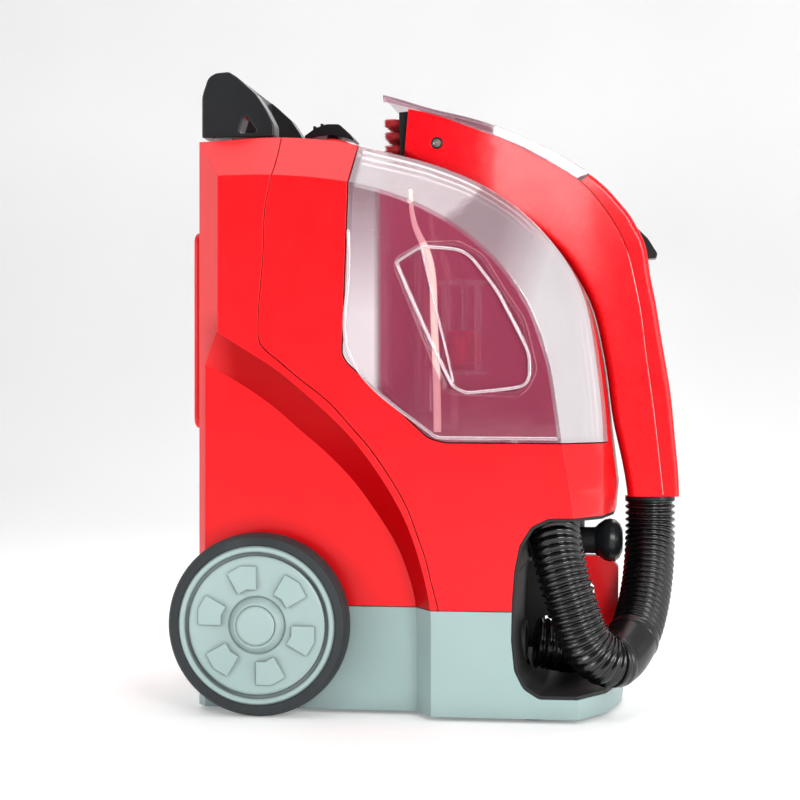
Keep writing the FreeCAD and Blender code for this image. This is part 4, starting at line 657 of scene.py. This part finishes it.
# Corners of the grip ring: x, z, corner radius.
GRIP_RING = [(-2.2, 315.6, 2.5), (15.2, 326.4, 16), (46.2, 323.3, 24), (67.5, 295.7, 80),
             (89.3, 253.3, 26), (90.0, 230.1, 22), (46.2, 225.4, 8), (36.6, 230.2, 12)]
# Open bead lines: x, z.
GRIP_LINE = [(15.2, 325.7), (19.3, 308.5), (25.5, 282.4), (32.4, 254.9), (37.3, 232.9)]
RIM_LINE = [(-35.6, 338.0), (-36.0, 300.0), (-36.3, 257.0), (-34.6, 252.2), (21.6, 197.9),
            (25.0, 195.6), (32.0, 194.6), (70.0, 194.4), (108.5, 194.2)]
# Standpipe centre line: x, z.
STANDPIPE_LINE = [(7.0, 366.0), (11.2, 338.5), (17.8, 324.5), (23.4, 284.0),
                  (25.0, 243.5), (25.9, 198.5)]
STANDPIPE_Y = -112.6


def rounded_outline(corners, segments=7):
    """Closed outline with each corner eased by a quadratic curve."""
    outline = []
    points = [Vector(corner[:2]) for corner in corners]
    for k, (_, _, radius) in enumerate(corners):
        before, corner, after = points[k - 1], points[k], points[(k + 1) % len(points)]
        back, ahead = (before - corner).normalized(), (after - corner).normalized()
        cut = min(radius / math.tan(back.angle(ahead) / 2.0),
                  0.45 * min((before - corner).length, (after - corner).length))
        start, end = corner + back * cut, corner + ahead * cut
        for j in range(segments + 1):
            t = j / segments
            outline.append(start * (1 - t) ** 2 + corner * (2 * t * (1 - t)) + end * t ** 2)
    return outline


def add_bead(body, suffix, outline, y, radius, closed=False):
    """Raised moulded bead along an outline on a tank's side face."""
    path, _ = spline([place(x, y, z) for x, z in outline], 0.0011, closed=closed)
    bead = tube(body + suffix, path, radius, 10, MATERIALS["ridge"], closed=closed)
    attach(bead, body)


def build_tank_beads():
    for body, y in TANK_SIDES:
        add_bead(body, "_grip_ring", rounded_outline(GRIP_RING), y, radius=0.00115, closed=True)
        add_bead(body, "_grip_line", GRIP_LINE, y, radius=0.0008)
    for body, y in TANK_SIDES:
        add_bead(body, "_rim_bead", RIM_LINE, y, radius=0.0013)


def build_screw_shadow_rings():
    """Thin black rings at the two outer faces of the tool screws, a painted shadow round each
    screw head.
    """
    centre_x, centre_z, radius = 17.8, 406.5, 3.5
    low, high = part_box("tool_screws")
    for side, y in (("right", low[1]), ("left", high[1])):
        circle = np.array([place(centre_x + radius * math.cos(a), 0.0,
                                 centre_z + radius * math.sin(a))
                           for a in np.linspace(0, 2 * math.pi, 49)])
        circle[:, 1] = y
        shadow_ring = tube(side + "_screw_shadow_ring", circle, 0.0007, 8, MATERIALS["black"],
                      closed=True)
        attach(shadow_ring, "tool")


def build_standpipe():
    """Pale pipe inside the recovery tank, widening over its upper quarter."""
    path, _ = spline([place(x, STANDPIPE_Y, z) for x, z in STANDPIPE_LINE], 0.0016)
    radii = [0.0011 + 0.0015 * min(1.0, 4.0 * k / len(path)) for k in range(len(path))]
    pipe = tube("recovery_standpipe", path, radii, 12, MATERIALS["cream"])
    attach(pipe, "recovery")


# ------------------------------------------------------------------ stage
def build_floor():
    """Floor that curves up into a wall behind the machine."""
    half_width, bend_y, bend_radius = 9.0, 1.6, 0.8
    profile = [(-14.0, 0.0), (bend_y, 0.0)]
    for j in range(1, 13):
        angle = math.pi / 2 * j / 12.0
        profile.append((bend_y + bend_radius * math.sin(angle),
                        bend_radius - bend_radius * math.cos(angle)))
    profile.append((bend_y + bend_radius, 4.0))
    verts = [(x, y, z) for y, z in profile for x in (-half_width, half_width)]
    faces = [(2 * j, 2 * j + 1, 2 * j + 3, 2 * j + 2) for j in range(len(profile) - 1)]
    m = Material("floor_paint")
    colour = m.ramp(m.noise(scale=3.0, detail=3.0),
                    (0.3, (0.86, 0.86, 0.86)), (0.7, (0.89, 0.89, 0.89)))
    paint = m.principled(Base_Color=colour, Roughness=0.6, Emission_Color=colour,
                         Emission_Strength=0.22)
    add_mesh("floor", verts, faces, paint)


def build_world():
    """White surroundings, dim on the camera's side but full white to the camera."""
    world = bpy.data.worlds.new("studio")
    bpy.context.scene.world = world
    world.use_nodes = True
    nodes = Nodes(world.node_tree)
    along_y = nodes.split(nodes.coords.outputs["Generated"])["Y"]
    glow = nodes.span(along_y, low=0.03, high=0.95, start=-0.92, end=0.45)
    seen = nodes.node("LightPath").outputs["Is Camera Ray"]
    background = world.node_tree.nodes["Background"].inputs
    feed(nodes.tree, background["Strength"], nodes.math("MAXIMUM", glow, seen))
    feed(nodes.tree, background["Color"], (1.0, 1.0, 1.0))


# Area lights: name, location, target, width, height, power in watts.
LIGHTS = [
    ("key", (1.1, -2.0, 0.95), (0.0, 0.0, 0.2), 0.8, 0.8, 33.0),
    ("fill", (-1.7, -1.7, 0.7), (0.0, 0.0, 0.2), 0.9, 0.9, 17.0),
    ("front", (1.9, -0.9, 0.35), (0.1, 0.0, 0.12), 0.7, 0.7, 11.0),
    ("back", (0.5, 1.4, 1.5), (0.0, 0.0, 0.3), 1.2, 0.8, 14.0),
    ("top", (0.0, -0.2, 2.0), (0.0, 0.0, 0.2), 1.4, 1.4, 8.0),
]


def stage_aimed(name, data, location, direction):
    """Add a light or camera that looks along a direction."""
    obj = bpy.data.objects.new(name, data)
    bpy.context.scene.collection.objects.link(obj)
    obj.location = location
    obj.rotation_mode = "QUATERNION"
    obj.rotation_quaternion = direction.to_track_quat("-Z", "Y")
    return obj


def build_lights():
    for name, location, target, width, height, power in LIGHTS:
        light = bpy.data.lights.new(name, "AREA")
        light.shape = "RECTANGLE"
        light.size, light.size_y = width, height
        light.energy = power
        stage_aimed(name, light, location, Vector(target) - Vector(location))


def build_camera():
    """Camera on the right side, turned a little towards the front."""
    azimuth, distance = math.radians(8.0), 1.4
    camera = bpy.data.cameras.new("camera")
    camera.sensor_width = 36.0
    camera.lens = 83.8
    camera.clip_start, camera.clip_end = 0.01, 50.0
    backward = Vector((math.sin(azimuth), -math.cos(azimuth), 0.0))
    location = place(-16.0, 0.0, 220.6) + backward * distance
    bpy.context.scene.camera = stage_aimed("camera", camera, location, -backward)
    view = bpy.context.scene.view_settings
    view.view_transform = "Standard"
    view.look = "None"
    view.exposure = 0.0


finish_cad_pieces()
build_hose()
build_brush()
build_cord()
build_tank_beads()
build_screw_shadow_rings()
build_standpipe()
build_floor()
build_world()
build_lights()
build_camera()
